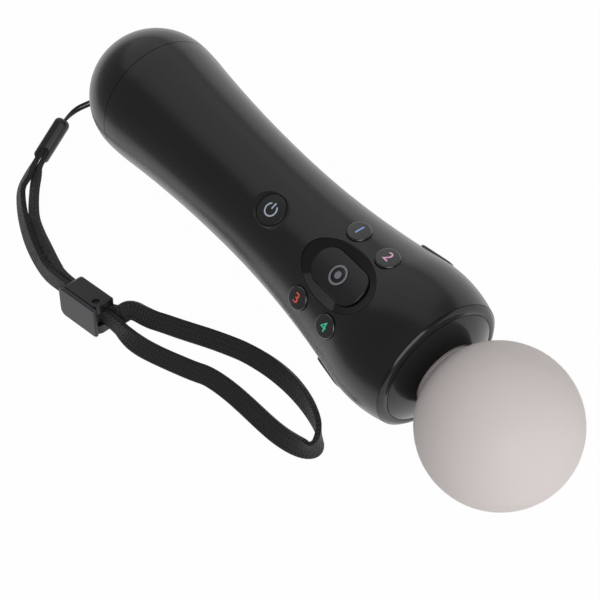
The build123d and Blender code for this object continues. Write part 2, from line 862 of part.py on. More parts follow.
with BuildPart() as trigger_pin:
    with BuildSketch(pivot_axis_plane):
        Circle(pin_radius)
    extrude(amount=slot_width / 2 + ear_thick, both=True)
save(trigger_pin.part, "trigger_pin")

spring_middle = pocket_width / 2 - spring_wire
ear_top = pivot_z + hub_radius
hook_length = slot_width / 2 + ear_thick - spring_middle
with BuildPart() as trigger_spring:
    with BuildSketch(pivot_axis_plane.offset(spring_middle - spring_wire + seat_gap)):
        Circle(coil_radius)
        Circle(pin_radius + running_gap, mode=Mode.SUBTRACT)
    extrude(amount=2 * (spring_wire - seat_gap))
    leg_x = pivot_x - pin_radius - spring_wire / 2
    with Locations((leg_x, -spring_middle, axis_height - pocket_floor + seat_gap)):
        Box(
            leg_length,
            spring_wire,
            spring_wire,
            align=(Align.MAX, Align.CENTER, Align.MIN),
        )
    with Locations((pivot_x, -spring_middle, pivot_z + coil_radius - spring_wire)):
        Box(
            spring_wire,
            spring_wire,
            ear_top + seat_gap + 2 * spring_wire - pivot_z - coil_radius,
            align=(Align.CENTER, Align.CENTER, Align.MIN),
        )
    with Locations((pivot_x, -spring_middle + spring_wire / 2, ear_top + seat_gap)):
        Box(
            spring_wire,
            hook_length,
            spring_wire,
            align=(Align.CENTER, Align.MAX, Align.MIN),
        )
save(trigger_spring.part, "trigger_spring")

with BuildPart() as trigger_magnet:
    with Locations((ball_x - magnet_from_ball, 0, axis_height - pocket_floor)):
        Cylinder(2.0, 1.5, align=(Align.CENTER, Align.CENTER, Align.MIN))
save(trigger_magnet.part, "trigger_magnet")

with BuildPart() as trigger_sensor:
    with Locations((ball_x - magnet_from_ball, 0, frame_bottom)):
        Box(4.0, 3.0, 1.2, align=(Align.CENTER, Align.CENTER, Align.MAX))
save(trigger_sensor.part, "trigger_sensor")

# Battery between the shells' ribs
battery_x = tail_x + battery_from_tail
with BuildPart() as battery:
    with Locations((battery_x, 0, axis_height)):
        Box(
            battery_length,
            battery_width,
            battery_height,
            align=(Align.MIN, Align.CENTER, Align.CENTER),
        )
    fillet(battery.edges().filter_by(Axis.X), 2.0)
save(battery.part, "battery")

# Rumble motor in its clip under the frame, with the weight on its shaft
motor_x = battery_x + battery_length + motor_from_battery
motor_plane = Plane(origin=(motor_x, 0, axis_height - motor_drop), x_dir=(0, -1, 0), z_dir=(-1, 0, 0))
with BuildPart() as rumble_motor:
    with BuildSketch(motor_plane):
        Circle(motor_radius)
    extrude(amount=motor_length)
    with BuildSketch(motor_plane.offset(motor_length)):
        Circle(motor_shaft)
    extrude(amount=weight_thick + 1)
save(rumble_motor.part, "rumble_motor")

with BuildPart() as rumble_weight:
    with BuildSketch(motor_plane.offset(motor_length + 0.5)):
        with BuildLine():
            CenterArc((0, 0), weight_radius, 180, 180)
            Line((weight_radius, 0), (-weight_radius, 0))
        make_face()
        Circle(motor_shaft + weight_bore_length)
        Circle(motor_shaft + running_gap, mode=Mode.SUBTRACT)
    extrude(amount=weight_thick)
save(rumble_weight.part, "rumble_weight")

clip_wall = 0.9
clip_length = motor_length - 3.0
clip_bottom = axis_height - motor_drop - motor_radius - clip_wall
with BuildPart() as motor_clip:
    with Locations((motor_x - motor_length / 2, 0, frame_bottom)):
        Box(
            clip_length,
            2 * (motor_radius + clip_wall),
            frame_bottom - clip_bottom,
            align=(Align.CENTER, Align.CENTER, Align.MAX),
        )
    with BuildSketch(motor_plane):
        Circle(motor_radius + running_gap)
    extrude(amount=motor_length, mode=Mode.SUBTRACT)
save(motor_clip.part, "motor_clip")

# Trim ring: a rounded shoulder in front of the shells, with a spigot inside them
ring_back_x = lip_x + seam_gap / 2
trim_front_x = ball_x - trim_front_from_ball
lip_radius = skin_radius(lip_x)
ring_radius = lip_radius - seam_gap
spigot_radius = lip_radius - wall - fit_gap
collar_seat_x = (ring_back_x + trim_front_x) / 2
spigot_back_x = ring_back_x - 3.5
with BuildPart() as trim_ring:
    with BuildSketch(section_plane):
        with BuildLine():
            Polyline(
                (collar_seat_x, trim_spigot),
                (spigot_back_x, trim_spigot),
                (spigot_back_x, spigot_radius),
                (ring_back_x, spigot_radius),
                (ring_back_x, ring_radius),
            )
            ThreePointArc(
                (ring_back_x, ring_radius),
                (trim_front_x - 0.25, (ring_radius + trim_inner) / 2 + 0.35),
                (trim_front_x, trim_inner + 0.1),
            )
            Polyline(
                (trim_front_x, trim_inner + 0.1),
                (trim_front_x - 0.1, trim_inner),
                (collar_seat_x, trim_inner),
                (collar_seat_x, trim_spigot),
            )
        make_face()
    revolve(axis=body_axis)
save(trim_ring.part, "trim_ring")

# Collar: a shallow cone from the trim ring in to the light's neck, with a skirt behind
collar_radius = trim_inner - fit_gap
collar_hole = neck_radius + 2 * fit_gap
collar_rise_x = ball_x - collar_rise_from_ball
collar_thick = 1.5
neck_end_x = ball_x - neck_end_from_ball
flange_front_x = neck_end_x + neck_flange_thick
skirt_x = flange_front_x + fit_gap
skirt_radius = neck_flange_radius
collar_back_x = collar_seat_x + running_gap
with BuildPart() as collar:
    with BuildSketch(section_plane):
        with BuildLine():
            ThreePointArc(
                (trim_front_x, collar_radius),
                ((trim_front_x + collar_rise_x) / 2 + 0.3, (collar_radius + collar_hole) / 2),
                (collar_rise_x, collar_hole + 0.3),
            )
            Polyline(
                (collar_rise_x, collar_hole + 0.3),
                (collar_rise_x - 0.3, collar_hole),
                (skirt_x, collar_hole),
                (skirt_x, skirt_radius),
                (collar_rise_x - collar_thick - 0.6, skirt_radius),
                (collar_back_x, trim_spigot),
                (collar_back_x, collar_radius),
                (trim_front_x, collar_radius),
            )
        make_face()
    revolve(axis=body_axis)
save(collar.part, "collar")

# Light: a thin frosted ball with a neck, its retainer, and the lamp behind it
with BuildPart() as light_ball:
    with Locations((ball_x, 0, axis_height)):
        Sphere(ball_radius)
    with BuildSketch(Plane(origin=(neck_end_x, 0, axis_height), z_dir=(1, 0, 0))):
        Circle(neck_radius)
    extrude(amount=neck_end_from_ball)
    with BuildSketch(Plane(origin=(neck_end_x, 0, axis_height), z_dir=(1, 0, 0))):
        Circle(neck_flange_radius)
    extrude(amount=neck_flange_thick)
    with Locations((ball_x, 0, axis_height)):
        Sphere(ball_radius - ball_wall, mode=Mode.SUBTRACT)
    with BuildSketch(Plane(origin=(neck_end_x, 0, axis_height), z_dir=(1, 0, 0))):
        Circle(neck_radius - ball_wall)
    extrude(amount=neck_end_from_ball, mode=Mode.SUBTRACT)
save(light_ball.part, "light_ball")

retainer_radius = trim_spigot - running_gap
retainer_lip_x = neck_end_x - running_gap
retainer_inner = neck_radius + fit_gap
retainer_step = neck_flange_radius + 2 * fit_gap
retainer_tail_x = retainer_lip_x - 5.0
save(
    turned(
        [
            (retainer_tail_x, retainer_inner),
            (retainer_tail_x, retainer_step),
            (retainer_lip_x - 1.6, retainer_step),
            (retainer_lip_x - 1.6, retainer_radius),
            (collar_back_x - running_gap, retainer_radius),
            (collar_back_x - running_gap, retainer_step + 1.6),
            (retainer_lip_x + 1.6, retainer_step),
            (retainer_lip_x, retainer_step),
            (retainer_lip_x, retainer_inner),
        ]
    ),
    "ball_retainer",
)

led_board_x = retainer_tail_x + 0.4
led_plane = Plane(origin=(led_board_x, 0, axis_height), x_dir=(0, 1, 0), z_dir=(1, 0, 0))
with BuildPart() as led_board:
    with BuildSketch(led_plane):
        Circle(retainer_inner - running_gap)
    extrude(amount=board_thick)
save(led_board.part, "led_board")

with BuildPart() as rgb_led:
    with BuildSketch(led_plane.offset(board_thick)):
        Rectangle(led_side, led_side)
    extrude(amount=led_height)
save(rgb_led.part, "rgb_led")

guide_x = led_board_x + board_thick + led_height + running_gap
guide_front_x = neck_end_x + 3.5
guide_radius = neck_radius - ball_wall - running_gap
with BuildPart() as light_guide:
    with BuildSketch(section_plane):
        with BuildLine():
            Polyline(
                (guide_x, 0),
                (guide_x, led_side / 2),
                (neck_end_x, guide_radius),
                (guide_front_x - 1.0, guide_radius),
                (guide_front_x, guide_radius - 1.0),
                (guide_front_x, 0),
                (guide_x, 0),
            )
        make_face()
    revolve(axis=body_axis)
save(light_guide.part, "light_guide")

# End cap: a dome with a spigot into the shells, the port openings and the strap hole
tip_x = -overall_length / 2
port_board_x = tip_x + port_board_from_tip
cap_spigot_radius = skin_radius(cap_seam_x + spigot_length, wall) - fit_gap
strap_normal = Vector(-0.85, -0.25, -0.46).normalized()
strap_mouth = Vector(tail_x, 0, axis_height) + strap_normal * tail_radius
strap_side = Vector(0, 0, 1).cross(strap_normal).normalized()
strap_plane = Plane(origin=strap_mouth, x_dir=strap_side, z_dir=strap_normal)
port_plane = Plane(origin=(port_board_x, 0, axis_height), x_dir=(0, -1, 0), z_dir=(-1, 0, 0))
contact_places = [(contact_spread, 0), (-contact_spread, 0)]
post_places = [(contact_spread, -5.0), (-contact_spread, -5.0)]
cap_inner_radius = skin_radius(cap_seam_x, cap_wall)
with BuildPart() as cap_bosses:
    with BuildSketch(strap_plane.offset(-strap_hole_depth - strap_boss_wall)):
        Circle(strap_hole_radius + strap_boss_wall)
    extrude(amount=strap_hole_depth + strap_boss_wall)
    with BuildSketch(port_plane):
        with Locations(*post_places):
            Circle(1.6)
    extrude(amount=tail_radius)
    add(grip_body(cap_wall - shell_overlap), mode=Mode.INTERSECT)

with BuildPart() as end_cap:
    add(outer_body)
    add(grip_body(cap_wall), mode=Mode.SUBTRACT)
    split(bisect_by=Plane.YZ.offset(cap_seam_x - seam_gap / 2), keep=Keep.BOTTOM)
    add(
        turned(
            [
                (cap_seam_x - spigot_length, cap_spigot_radius - spigot_wall),
                (cap_seam_x - spigot_length, cap_inner_radius),
                (cap_seam_x - seam_gap, cap_inner_radius + shell_overlap),
                (cap_seam_x - seam_gap, cap_spigot_radius),
                (cap_seam_x + spigot_length, cap_spigot_radius),
                (cap_seam_x + spigot_length, cap_spigot_radius - spigot_wall),
            ]
        )
    )
    add(cap_bosses.part)
    with BuildSketch(port_plane):
        with Locations((0, usb_lift)):
            Rectangle(usb_width + 2 * fit_gap, usb_height + 2 * fit_gap)
        with Locations((0, ext_lift)):
            Rectangle(ext_width + 2 * fit_gap, ext_height + 2 * fit_gap)
        with Locations(*contact_places):
            Circle(contact_radius + fit_gap)
    extrude(amount=tail_radius, mode=Mode.SUBTRACT)
    with BuildSketch(strap_plane.offset(-strap_hole_depth)):
        Circle(strap_hole_radius)
    extrude(amount=2 * strap_hole_depth, mode=Mode.SUBTRACT)
    strap_bar_depth = strap_hole_depth / 2
    bar_plane = Plane(
        origin=strap_plane.from_local_coords((0, 0, -strap_bar_depth)),
        x_dir=strap_plane.x_dir,
        z_dir=strap_plane.y_dir,
    )
    with BuildSketch(bar_plane):
        Circle(strap_bar_radius + running_gap / 2)
    extrude(amount=strap_hole_radius + strap_boss_wall / 2, both=True, mode=Mode.SUBTRACT)
save(end_cap.part, "end_cap")

with BuildPart() as strap_bar:
    with BuildSketch(bar_plane):
        Circle(strap_bar_radius)
    extrude(amount=strap_hole_radius + strap_boss_wall / 2, both=True)
save(strap_bar.part, "strap_bar")

with BuildPart() as port_board:
    with BuildSketch(port_plane.offset(-board_thick)):
        Circle(port_board_radius)
    extrude(amount=board_thick)
save(port_board.part, "port_board")


def socket(name, width, height, lift, face_inset):
    """A socket standing on the port board, open towards the tip, with a tongue inside."""
    depth = port_board_from_tip - face_inset
    with BuildPart() as body:
        with BuildSketch(port_plane):
            with Locations((0, lift)):
                Rectangle(width, height)
        extrude(amount=depth)
        with BuildSketch(port_plane.offset(1.5)):
            with Locations((0, lift)):
                Rectangle(width - 2 * socket_wall, height - 2 * socket_wall)
        extrude(amount=depth, mode=Mode.SUBTRACT)
        with BuildSketch(port_plane.offset(1.5)):
            with Locations((0, lift)):
                Rectangle(width * 0.7, height * 0.25)
        extrude(amount=depth - 3.0)
    save(body.part, name)


socket("usb_socket", usb_width, usb_height, usb_lift, 0.9)
socket("ext_socket", ext_width, ext_height, ext_lift, 2.6)

contact_x = tail_x - sqrt(tail_radius**2 - contact_spread**2)
with BuildPart() as charge_contacts:
    with BuildSketch(port_plane):
        with Locations(*contact_places):
            Circle(contact_radius)
    extrude(amount=port_board_x - contact_x)
save(charge_contacts.part, "charge_contacts")


# Strap: a thin cord on the end cap, a rubber sleeve, then one loop of braided tape
def direction(heading):
    """Level direction of a heading in degrees."""
    return Vector(cos(radians(heading)), sin(radians(heading)), 0)


def leftward(heading):
    """Level direction to the left of a heading in degrees."""
    return direction(heading + 90)


def corner_radii(points):
    """The largest radius that the two runs at each corner of a route allow."""
    radii = []
    for before, here, after in zip(points, points[1:], points[2:]):
        arriving = here - before
        leaving = after - here
        turn = radians(arriving.get_angle(leaving))
        radii.append(0.45 * min(arriving.length, leaving.length) / tan(turn / 2))
    return radii


sleeve_tilt = radians(sleeve_roll)
sleeve_left = leftward(sleeve_heading)
sleeve_lift = (
    (sleeve_width / 2 - sleeve_corner) * cos(sleeve_tilt)
    + (sleeve_height / 2 - sleeve_corner) * sin(sleeve_tilt)
    + sleeve_corner
)
sleeve_plane = Plane(
    origin=(*sleeve_nose, sleeve_lift),
    x_dir=sleeve_left * sin(sleeve_tilt) - Vector(0, 0, cos(sleeve_tilt)),
    z_dir=direction(sleeve_heading),
)
cord_radius = cord_diameter / 2
room_height = tape_width + 2 * fit_gap
sleeve_top = Plane(
    origin=sleeve_plane.origin, x_dir=sleeve_plane.z_dir, z_dir=sleeve_plane.y_dir
)
with BuildPart() as strap_sleeve:
    with BuildSketch(sleeve_plane):
        RectangleRounded(sleeve_width, sleeve_height, sleeve_corner)
    extrude(amount=sleeve_length)
    fillet(
        strap_sleeve.faces().sort_by(Axis(sleeve_plane.origin, sleeve_plane.z_dir))[0].edges(),
        sleeve_nose_round,
    )
    with BuildSketch(sleeve_top):
        RectangleRounded(2 * sleeve_length, sleeve_width, sleeve_tongue_round)
    extrude(amount=sleeve_height, both=True, mode=Mode.INTERSECT)
    with BuildSketch(sleeve_plane.offset(sleeve_room_start)):
        RectangleRounded(sleeve_room, room_height, 0.5)
    extrude(amount=sleeve_length, mode=Mode.SUBTRACT)
    with BuildSketch(sleeve_plane):
        SlotOverall(
            2 * (strand_spread + cord_radius + bore_gap), cord_diameter + 2 * bore_gap, rotation=90
        )
    extrude(amount=sleeve_length, mode=Mode.SUBTRACT)
    with BuildSketch(sleeve_top):
        with Locations((sleeve_lip + sleeve_length / 2, 0)):
            SlotOverall(sleeve_length, sleeve_notch)
    extrude(amount=sleeve_height, both=True, mode=Mode.SUBTRACT)
save(strap_sleeve.part, "strap_sleeve")

# Route of the thin cord's middle line: x, y, z, heading
cord_route = [
    (-101.5, -6.8, 10.2, -154.0),
    (-108.5, -12.0, 6.3, -138.0),
    (-114.5, -18.5, 4.3, -121.0),
    (-117.4, -23.3, 4.0, -103.0),
]
bar_clearance = strap_bar_radius + cord_radius + 0.1


def strand(side):
    """One strand of the thin cord, from the strap hole to its turn in the sleeve."""
    points = [
        strap_plane.from_local_coords((side * bar_clearance, 0, running_gap - strap_hole_depth)),
        strap_plane.from_local_coords((side * bar_clearance, 0, strap_hole_depth * 0.2)),
    ]
    for x, y, z, heading in cord_route:
        points.append(Vector(x, y, z) + leftward(heading) * side * strand_spread)
    for along in (0.6, sleeve_room_start + 0.6):
        points.append(sleeve_plane.from_local_coords((0, side * strand_spread, along)))
    points.append(sleeve_plane.from_local_coords((0, side * 2 * strand_spread, sleeve_room_start + 3.0)))
    return points


cord_points = strand(1) + strand(-1)[::-1]
cord_radii = corner_radii(cord_points)
with BuildPart() as strap_cord:
    with BuildLine() as cord_line:
        FilletPolyline(*cord_points, radius=cord_radii)
    with BuildSketch(Plane(origin=cord_line.line @ 0, z_dir=cord_line.line % 0)):
        Circle(cord_radius)
    sweep()
save(strap_cord.part, "strap_cord")
cord_length = cord_line.wire().length
print("cord radii", [round(radius, 1) for radius in cord_radii])
print("cord volume", strap_cord.part.volume, "section x length", cord_length * pi * cord_radius**2)

# Lock on the tape: a body with a channel for both layers, and a lever that clamps them
yaw = radians(lock_yaw)
roll = radians(lock_roll)
lock_depth = lock_body_depth + lock_play + lock_plate
lock_height = (
    (lock_width / 2 - lock_edge) * sin(roll) + (lock_depth / 2 - lock_edge) * cos(roll) + lock_edge
)
lock_plane = Plane(
    origin=(*lock_middle, lock_height),
    x_dir=(cos(yaw), sin(yaw), 0),
    z_dir=(sin(yaw) * sin(roll), -cos(yaw) * sin(roll), cos(roll)),
)
lock_bottom = -lock_depth / 2
lock_top = lock_bottom + lock_body_depth
channel_bottom = lock_bottom + lock_floor
channel_height = 2 * tape_thick + layer_gap + 2 * running_gap
channel_top = channel_bottom + channel_height
upper_layer = channel_top - running_gap - tape_thick / 2
lower_layer = channel_bottom + running_gap + tape_thick / 2
lock_body_end = lock_length / 2 - lock_overhang
lock_pin_x = lock_body_end - lock_pin_inset
lock_pin_z = lock_top - lock_pin_inset
lock_along = Axis(lock_plane.origin, lock_plane.x_dir)
lock_upright = Axis(lock_plane.origin, lock_plane.z_dir)
pin_plane = Plane(
    origin=lock_plane.from_local_coords((lock_pin_x, 0, lock_pin_z)),
    x_dir=lock_plane.x_dir,
    z_dir=-lock_plane.y_dir,
)
lock_section = Plane(
    origin=lock_plane.origin, x_dir=lock_plane.y_dir, z_dir=lock_plane.x_dir
)
with BuildPart() as strap_lock_body:
    with BuildSketch(lock_plane.offset(lock_bottom)):
        with Locations((-lock_overhang / 2, 0)):
            Rectangle(lock_length - lock_overhang, lock_width)
    extrude(amount=lock_body_depth)
    fillet(strap_lock_body.edges().filter_by(lock_upright).sort_by(lock_along)[:2], lock_corner)
    fillet(strap_lock_body.faces().sort_by(lock_upright)[0].edges(), lock_edge)
    pivot_edge = lock_plane.from_local_coords((lock_body_end, 0, lock_top))
    fillet(strap_lock_body.edges().sort_by_distance(pivot_edge)[0], lock_pin_inset)
    with BuildSketch(lock_section):
        for side in (1, -1):
            Polygon(
                (side * lock_width / 2, lock_top - lock_bevel),
                (side * (lock_width / 2 + 1), lock_top + 1),
                (side * (lock_width / 2 - lock_bevel), lock_top),
                align=None,
            )
    extrude(amount=lock_length, both=True, mode=Mode.SUBTRACT)
    with BuildSketch(lock_plane.offset(channel_bottom)):
        Rectangle(2 * lock_length, tape_width + 0.4)
    extrude(amount=channel_height, mode=Mode.SUBTRACT)
    with BuildSketch(lock_plane.offset(channel_bottom)):
        with Locations((lock_body_end, 0)):
            Rectangle(2 * (lock_pin_inset + lock_lug_radius + lock_play), lock_lug_width + 2 * lock_play)
    extrude(amount=lock_body_depth, mode=Mode.SUBTRACT)
    with BuildSketch(pin_plane):
        Circle(lock_pin_radius + running_gap / 2)
    extrude(amount=lock_width, both=True, mode=Mode.SUBTRACT)
    for side in (1, -1):
        with BuildSketch(pin_plane.offset(side * lock_width / 2)):
            Circle(lock_sink_radius)
        extrude(amount=-side * lock_sink_depth, mode=Mode.SUBTRACT)
save(strap_lock_body.part, "strap_lock_body")

with BuildPart() as strap_lock_lever:
    with BuildSketch(lock_plane.offset(lock_top + lock_play)):
        Rectangle(lock_length, lock_width)
    extrude(amount=lock_plate)
    upright_edges = strap_lock_lever.edges().filter_by(lock_upright).sort_by(lock_along)
    fillet(upright_edges[:2], lock_corner)
    low_corner = lock_plane.from_local_coords((lock_length / 2, -lock_width / 2, lock_top + lock_plate / 2))
    fillet(strap_lock_lever.edges().filter_by(lock_upright).sort_by_distance(low_corner)[0], lock_plate_corner)
    chamfer(strap_lock_lever.faces().sort_by(lock_upright)[-1].edges(), lock_bevel)
    with BuildSketch(pin_plane.offset(-lock_lug_width / 2)):
        Circle(lock_lug_radius)
        with Locations((0, (lock_pin_inset + lock_play) / 2)):
            Rectangle(2 * lock_lug_radius, lock_pin_inset + lock_play + lock_plate / 2)
    extrude(amount=lock_lug_width)
    with BuildSketch(pin_plane):
        Circle(lock_pin_radius + running_gap)
    extrude(amount=lock_width, both=True, mode=Mode.SUBTRACT)
save(strap_lock_lever.part, "strap_lock_lever")

with BuildPart() as strap_lock_pin:
    with BuildSketch(pin_plane):
        Circle(lock_pin_radius)
    extrude(amount=lock_width / 2 - lock_sink_depth, both=True)
save(strap_lock_pin.part, "strap_lock_pin")


def rest_height(roll_angle):
    """How high the middle of the tape is when it lies on the surface at this roll."""
    angle = radians(roll_angle)
    return tape_width / 2 * abs(sin(angle)) + tape_thick / 2 * abs(cos(angle))


# Route of the tape from the sleeve: x, y, lift above the surface, roll. A roll of 0 lies flat,
# 90 stands on its edge and 180 lies flat the other way up.
tape_route_out = [
    (-114.9, -49.8, 0.6, 47),
    (-113.1, -54.8, 0.3, 45),
    (-107.7, -58.8, 0.1, 44),
    (-101.9, -61.8, 0.0, 43),
    (-95.7, -64.2, 0.0, 43),
    (-88.5, -66.0, 0.1, 45),
    (-80.1, -67.0, 0.6, 49),
]
tape_route_loop = [
    (-39.7, -60.9, 1.5, 30),
    (-34.8, -60.3, 0.6, 12),
    (-28.7, -58.4, 0.1, 3),
    (-22.1, -56.0, 0.0, 0),
    (-14.6, -53.1, 0.0, 0),
    (-9.7, -50.8, 0.0, 0),
    (-1.6, -49.2, 0.0, 0),
    (6.3, -48.4, 0.0, 2),
    (14.2, -47.9, 0.0, 5),
    (21.3, -47.2, 0.0, 8),
    (27.3, -45.8, 0.0, 20),
    (31.7, -44.1, 0.0, 42),
    (34.2, -42.1, 0.0, 70),
    (33.6, -39.9, 0.0, 97),
    (30.7, -37.1, 0.0, 118),
    (26.2, -35.5, 0.0, 131),
    (20.6, -34.5, 0.0, 143),
    (13.9, -34.2, 0.0, 155),
    (6.8, -34.8, 0.0, 166),
    (0.1, -36.1, 0.0, 174),
    (-6.5, -37.9, 0.0, 179),
    (-12.4, -40.2, 0.0, 180),
    (-18.8, -42.9, 0.0, 180),
    (-28.0, -47.2, 0.0, 180),
    (-34.2, -49.9, 0.1, 177),
    (-39.5, -52.0, 0.4, 171),
    (-43.8, -53.8, 0.9, 161),
]
tape_route_back = [
    (-77.9, -62.9, 0.9, 130),
    (-85.0, -61.6, 0.3, 134),
    (-92.2, -60.2, 0.1, 136),
    (-98.6, -58.5, 0.0, 138),
    (-103.5, -55.4, 0.0, 138),
    (-107.9, -51.9, 0.1, 137),
    (-110.7, -48.1, 0.5, 134),
]


def surface_points(route):
    """Points of the route that lies on or near the surface, each with its roll."""
    return [(Vector(x, y, lift + rest_height(angle)), angle) for x, y, lift, angle in route]


def lock_point(along, layer, angle):
    """A point in line with the lock's channel, with its roll."""
    return (lock_plane.from_local_coords((along, 0, layer)), angle)


def sleeve_point(side, along, angle):
    """A point in line with the sleeve, with its roll."""
    return (sleeve_plane.from_local_coords((side, 0, along)), angle)


lead_reach = lock_length / 2 + 5.5
fold_reach = lock_length / 2 + 2.5
loop_reach = lock_length / 2 + 3.5
layer_side = (tape_thick + fit_gap) / 2
tape_start = sleeve_room_start + 4.5
tape_leave = sleeve_length + 1.7
tape_stations = [
    sleeve_point(-layer_side, tape_start, sleeve_roll),
    sleeve_point(-layer_side, tape_leave, sleeve_roll),
    *surface_points(tape_route_out),
    lock_point(-lead_reach, upper_layer, lock_roll),
    lock_point(loop_reach, upper_layer, lock_roll),
    *surface_points(tape_route_loop),
    lock_point(fold_reach, lower_layer, 180 - lock_roll),
    lock_point(-lead_reach, lower_layer, 180 - lock_roll),
    *surface_points(tape_route_back),
    sleeve_point(layer_side, tape_leave, 180 - sleeve_roll),
    sleeve_point(layer_side, tape_start, 180 - sleeve_roll),
]
tape_points = [point for point, angle in tape_stations]
tape_radii = corner_radii(tape_points)
with BuildLine() as tape_line:
    FilletPolyline(*tape_points, radius=tape_radii)
tape_wire = tape_line.wire()
tape_length = tape_wire.length

# Places of the sections along the tape: close together where it bends
shares = [0.0]
for edge in tape_wire.order_edges():
    bend = (edge % 0).get_angle(edge % 1)
    parts = max(1, round(edge.length / 5), round(bend / 12))
    start = shares[-1]
    for step in range(1, parts + 1):
        shares.append(start + edge.length / tape_length * step / parts)
shares[-1] = 1.0

# The share of the length at which the tape passes each point of its route
passes = [0.0]
for before, here in zip(tape_points, tape_points[1:]):
    furthest = passes[-1] + 1.2 * (here - before).length / tape_length + 0.01
    ahead_shares = [share for share in shares if passes[-1] < share <= furthest]
    passes.append(min(ahead_shares, key=lambda share: (tape_wire @ share - here).length))


def roll_at(share):
    """Roll of the tape at a share of its length, even between the points of the route."""
    for index in range(len(passes) - 1):
        if share <= passes[index + 1]:
            span = passes[index + 1] - passes[index]
            mix = (share - passes[index]) / span if span else 0
            return tape_stations[index][1] * (1 - mix) + tape_stations[index + 1][1] * mix
    return tape_stations[-1][1]


def tape_plane(share):
    """Plane of the tape's section at a share of its length."""
    ahead = tape_wire % share
    left = Vector(-ahead.Y, ahead.X, 0).normalized()
    above = ahead.cross(left)
    roll_here = roll_at(share)
    angle = radians(roll_here)
    place = tape_wire @ share
    place.Z = max(place.Z, rest_height(roll_here))
    return Plane(origin=place, x_dir=left * cos(angle) + above * sin(angle), z_dir=ahead)


with BuildPart() as strap_tape:
    for share in shares:
        with BuildSketch(tape_plane(share)):
            Rectangle(tape_width, tape_thick)
    loft(ruled=True)
save(strap_tape.part, "strap_tape")
print("tape radii", [round(radius, 1) for radius in tape_radii])
print("tape length", tape_length, "sections", len(shares))
print("tape volume", strap_tape.part.volume, "section x length", tape_length * tape_width * tape_thick)
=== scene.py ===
from math import cos, pi, radians, sin

import bpy
from mathutils import Matrix, Vector


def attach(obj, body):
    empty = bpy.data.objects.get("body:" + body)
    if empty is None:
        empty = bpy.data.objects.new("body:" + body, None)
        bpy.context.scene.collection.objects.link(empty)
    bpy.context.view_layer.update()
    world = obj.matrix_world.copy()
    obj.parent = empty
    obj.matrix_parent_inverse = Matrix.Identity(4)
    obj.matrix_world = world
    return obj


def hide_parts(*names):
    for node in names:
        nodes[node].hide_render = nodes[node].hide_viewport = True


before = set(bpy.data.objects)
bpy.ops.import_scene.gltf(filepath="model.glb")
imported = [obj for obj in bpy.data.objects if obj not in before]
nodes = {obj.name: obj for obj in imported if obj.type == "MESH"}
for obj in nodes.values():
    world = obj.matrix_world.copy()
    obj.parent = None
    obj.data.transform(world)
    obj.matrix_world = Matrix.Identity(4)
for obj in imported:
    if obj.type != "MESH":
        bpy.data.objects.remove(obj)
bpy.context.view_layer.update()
scene = bpy.context.scene
print("frame loaded:", len(nodes), "nodes")


# small helpers

def deselectAll():
    if bpy.context.object and bpy.context.object.mode != "OBJECT":
        bpy.ops.object.mode_set(mode="OBJECT")
    bpy.ops.object.select_all(action="DESELECT")


def makeActive(piece):
    deselectAll()
    piece.select_set(True)
    bpy.context.view_layer.objects.active = piece


def frameOf(origin, along, up):
    along = Vector(along).normalized()
    up = Vector(up).normalized()
    side = up.cross(along)
    turn = Matrix((along, side, up)).transposed().to_4x4()
    return Matrix.Translation(Vector(origin)) @ turn


def faceCentre(node, up, along):
    # where a button's axis meets its face: symmetric both ways, so the middle of its spread
    side = up.cross(along)
    points = [v.co for v in nodes[node].data.vertices]
    def middle(direction):
        reach = [p.dot(direction) for p in points]
        return (min(reach) + max(reach)) / 2
    top = max(p.dot(up) for p in points)
    return up * top + side * middle(side) + along * middle(along)


# node groups for effects that several finishes share

def newGroup(name, inputs, outputs):
    group = bpy.data.node_groups.new(name, "ShaderNodeTree")
    for title, kind, value in inputs:
        made = group.interface.new_socket(name=title, in_out="INPUT", socket_type="NodeSocket" + kind)
        if value is not None:
            made.default_value = value
    for title, kind in outputs:
        group.interface.new_socket(name=title, in_out="OUTPUT", socket_type="NodeSocket" + kind)
    return group, group.nodes.new("NodeGroupInput"), group.nodes.new("NodeGroupOutput")


def mathNode(tree, operation, first, second=None, third=None):
    made = tree.nodes.new("ShaderNodeMath")
    made.operation = operation
    for place, value in enumerate((first, second, third)):
        if value is None:
            continue
        if isinstance(value, (int, float)):
            made.inputs[place].default_value = value
        else:
            tree.links.new(value, made.inputs[place])
    return made.outputs[0]


def buildUnevenGroup():
    # slight unevenness of colour and gloss, as on any moulded or woven surface
    group, given, put = newGroup(
        "unevenFinish",
        [("Vector", "Vector", None), ("Colour", "Color", (0.5, 0.5, 0.5, 1)), ("Shade", "Float", 0.05),
         ("Scale", "Float", 60.0), ("Roughness", "Float", 0.5), ("Spread", "Float", 0.06)],
        [("Colour", "Color"), ("Roughness", "Float")],
    )
    noise = group.nodes.new("ShaderNodeTexNoise")
    noise.inputs["Detail"].default_value = 4.0
    group.links.new(given.outputs["Vector"], noise.inputs["Vector"])
    group.links.new(given.outputs["Scale"], noise.inputs["Scale"])
    centred = mathNode(group, "SUBTRACT", noise.outputs["Fac"], 0.5)
    swing = mathNode(group, "MULTIPLY", given.outputs["Shade"], 2.0)
    lift = mathNode(group, "MULTIPLY_ADD", centred, swing, 1.0)
    tone = group.nodes.new("ShaderNodeHueSaturation")
    group.links.new(given.outputs["Colour"], tone.inputs["Color"])
    group.links.new(lift, tone.inputs["Value"])
    group.links.new(tone.outputs["Color"], put.inputs["Colour"])
    gloss = mathNode(group, "MULTIPLY_ADD", centred, given.outputs["Spread"], given.outputs["Roughness"])
    group.links.new(gloss, put.inputs["Roughness"])
    return group


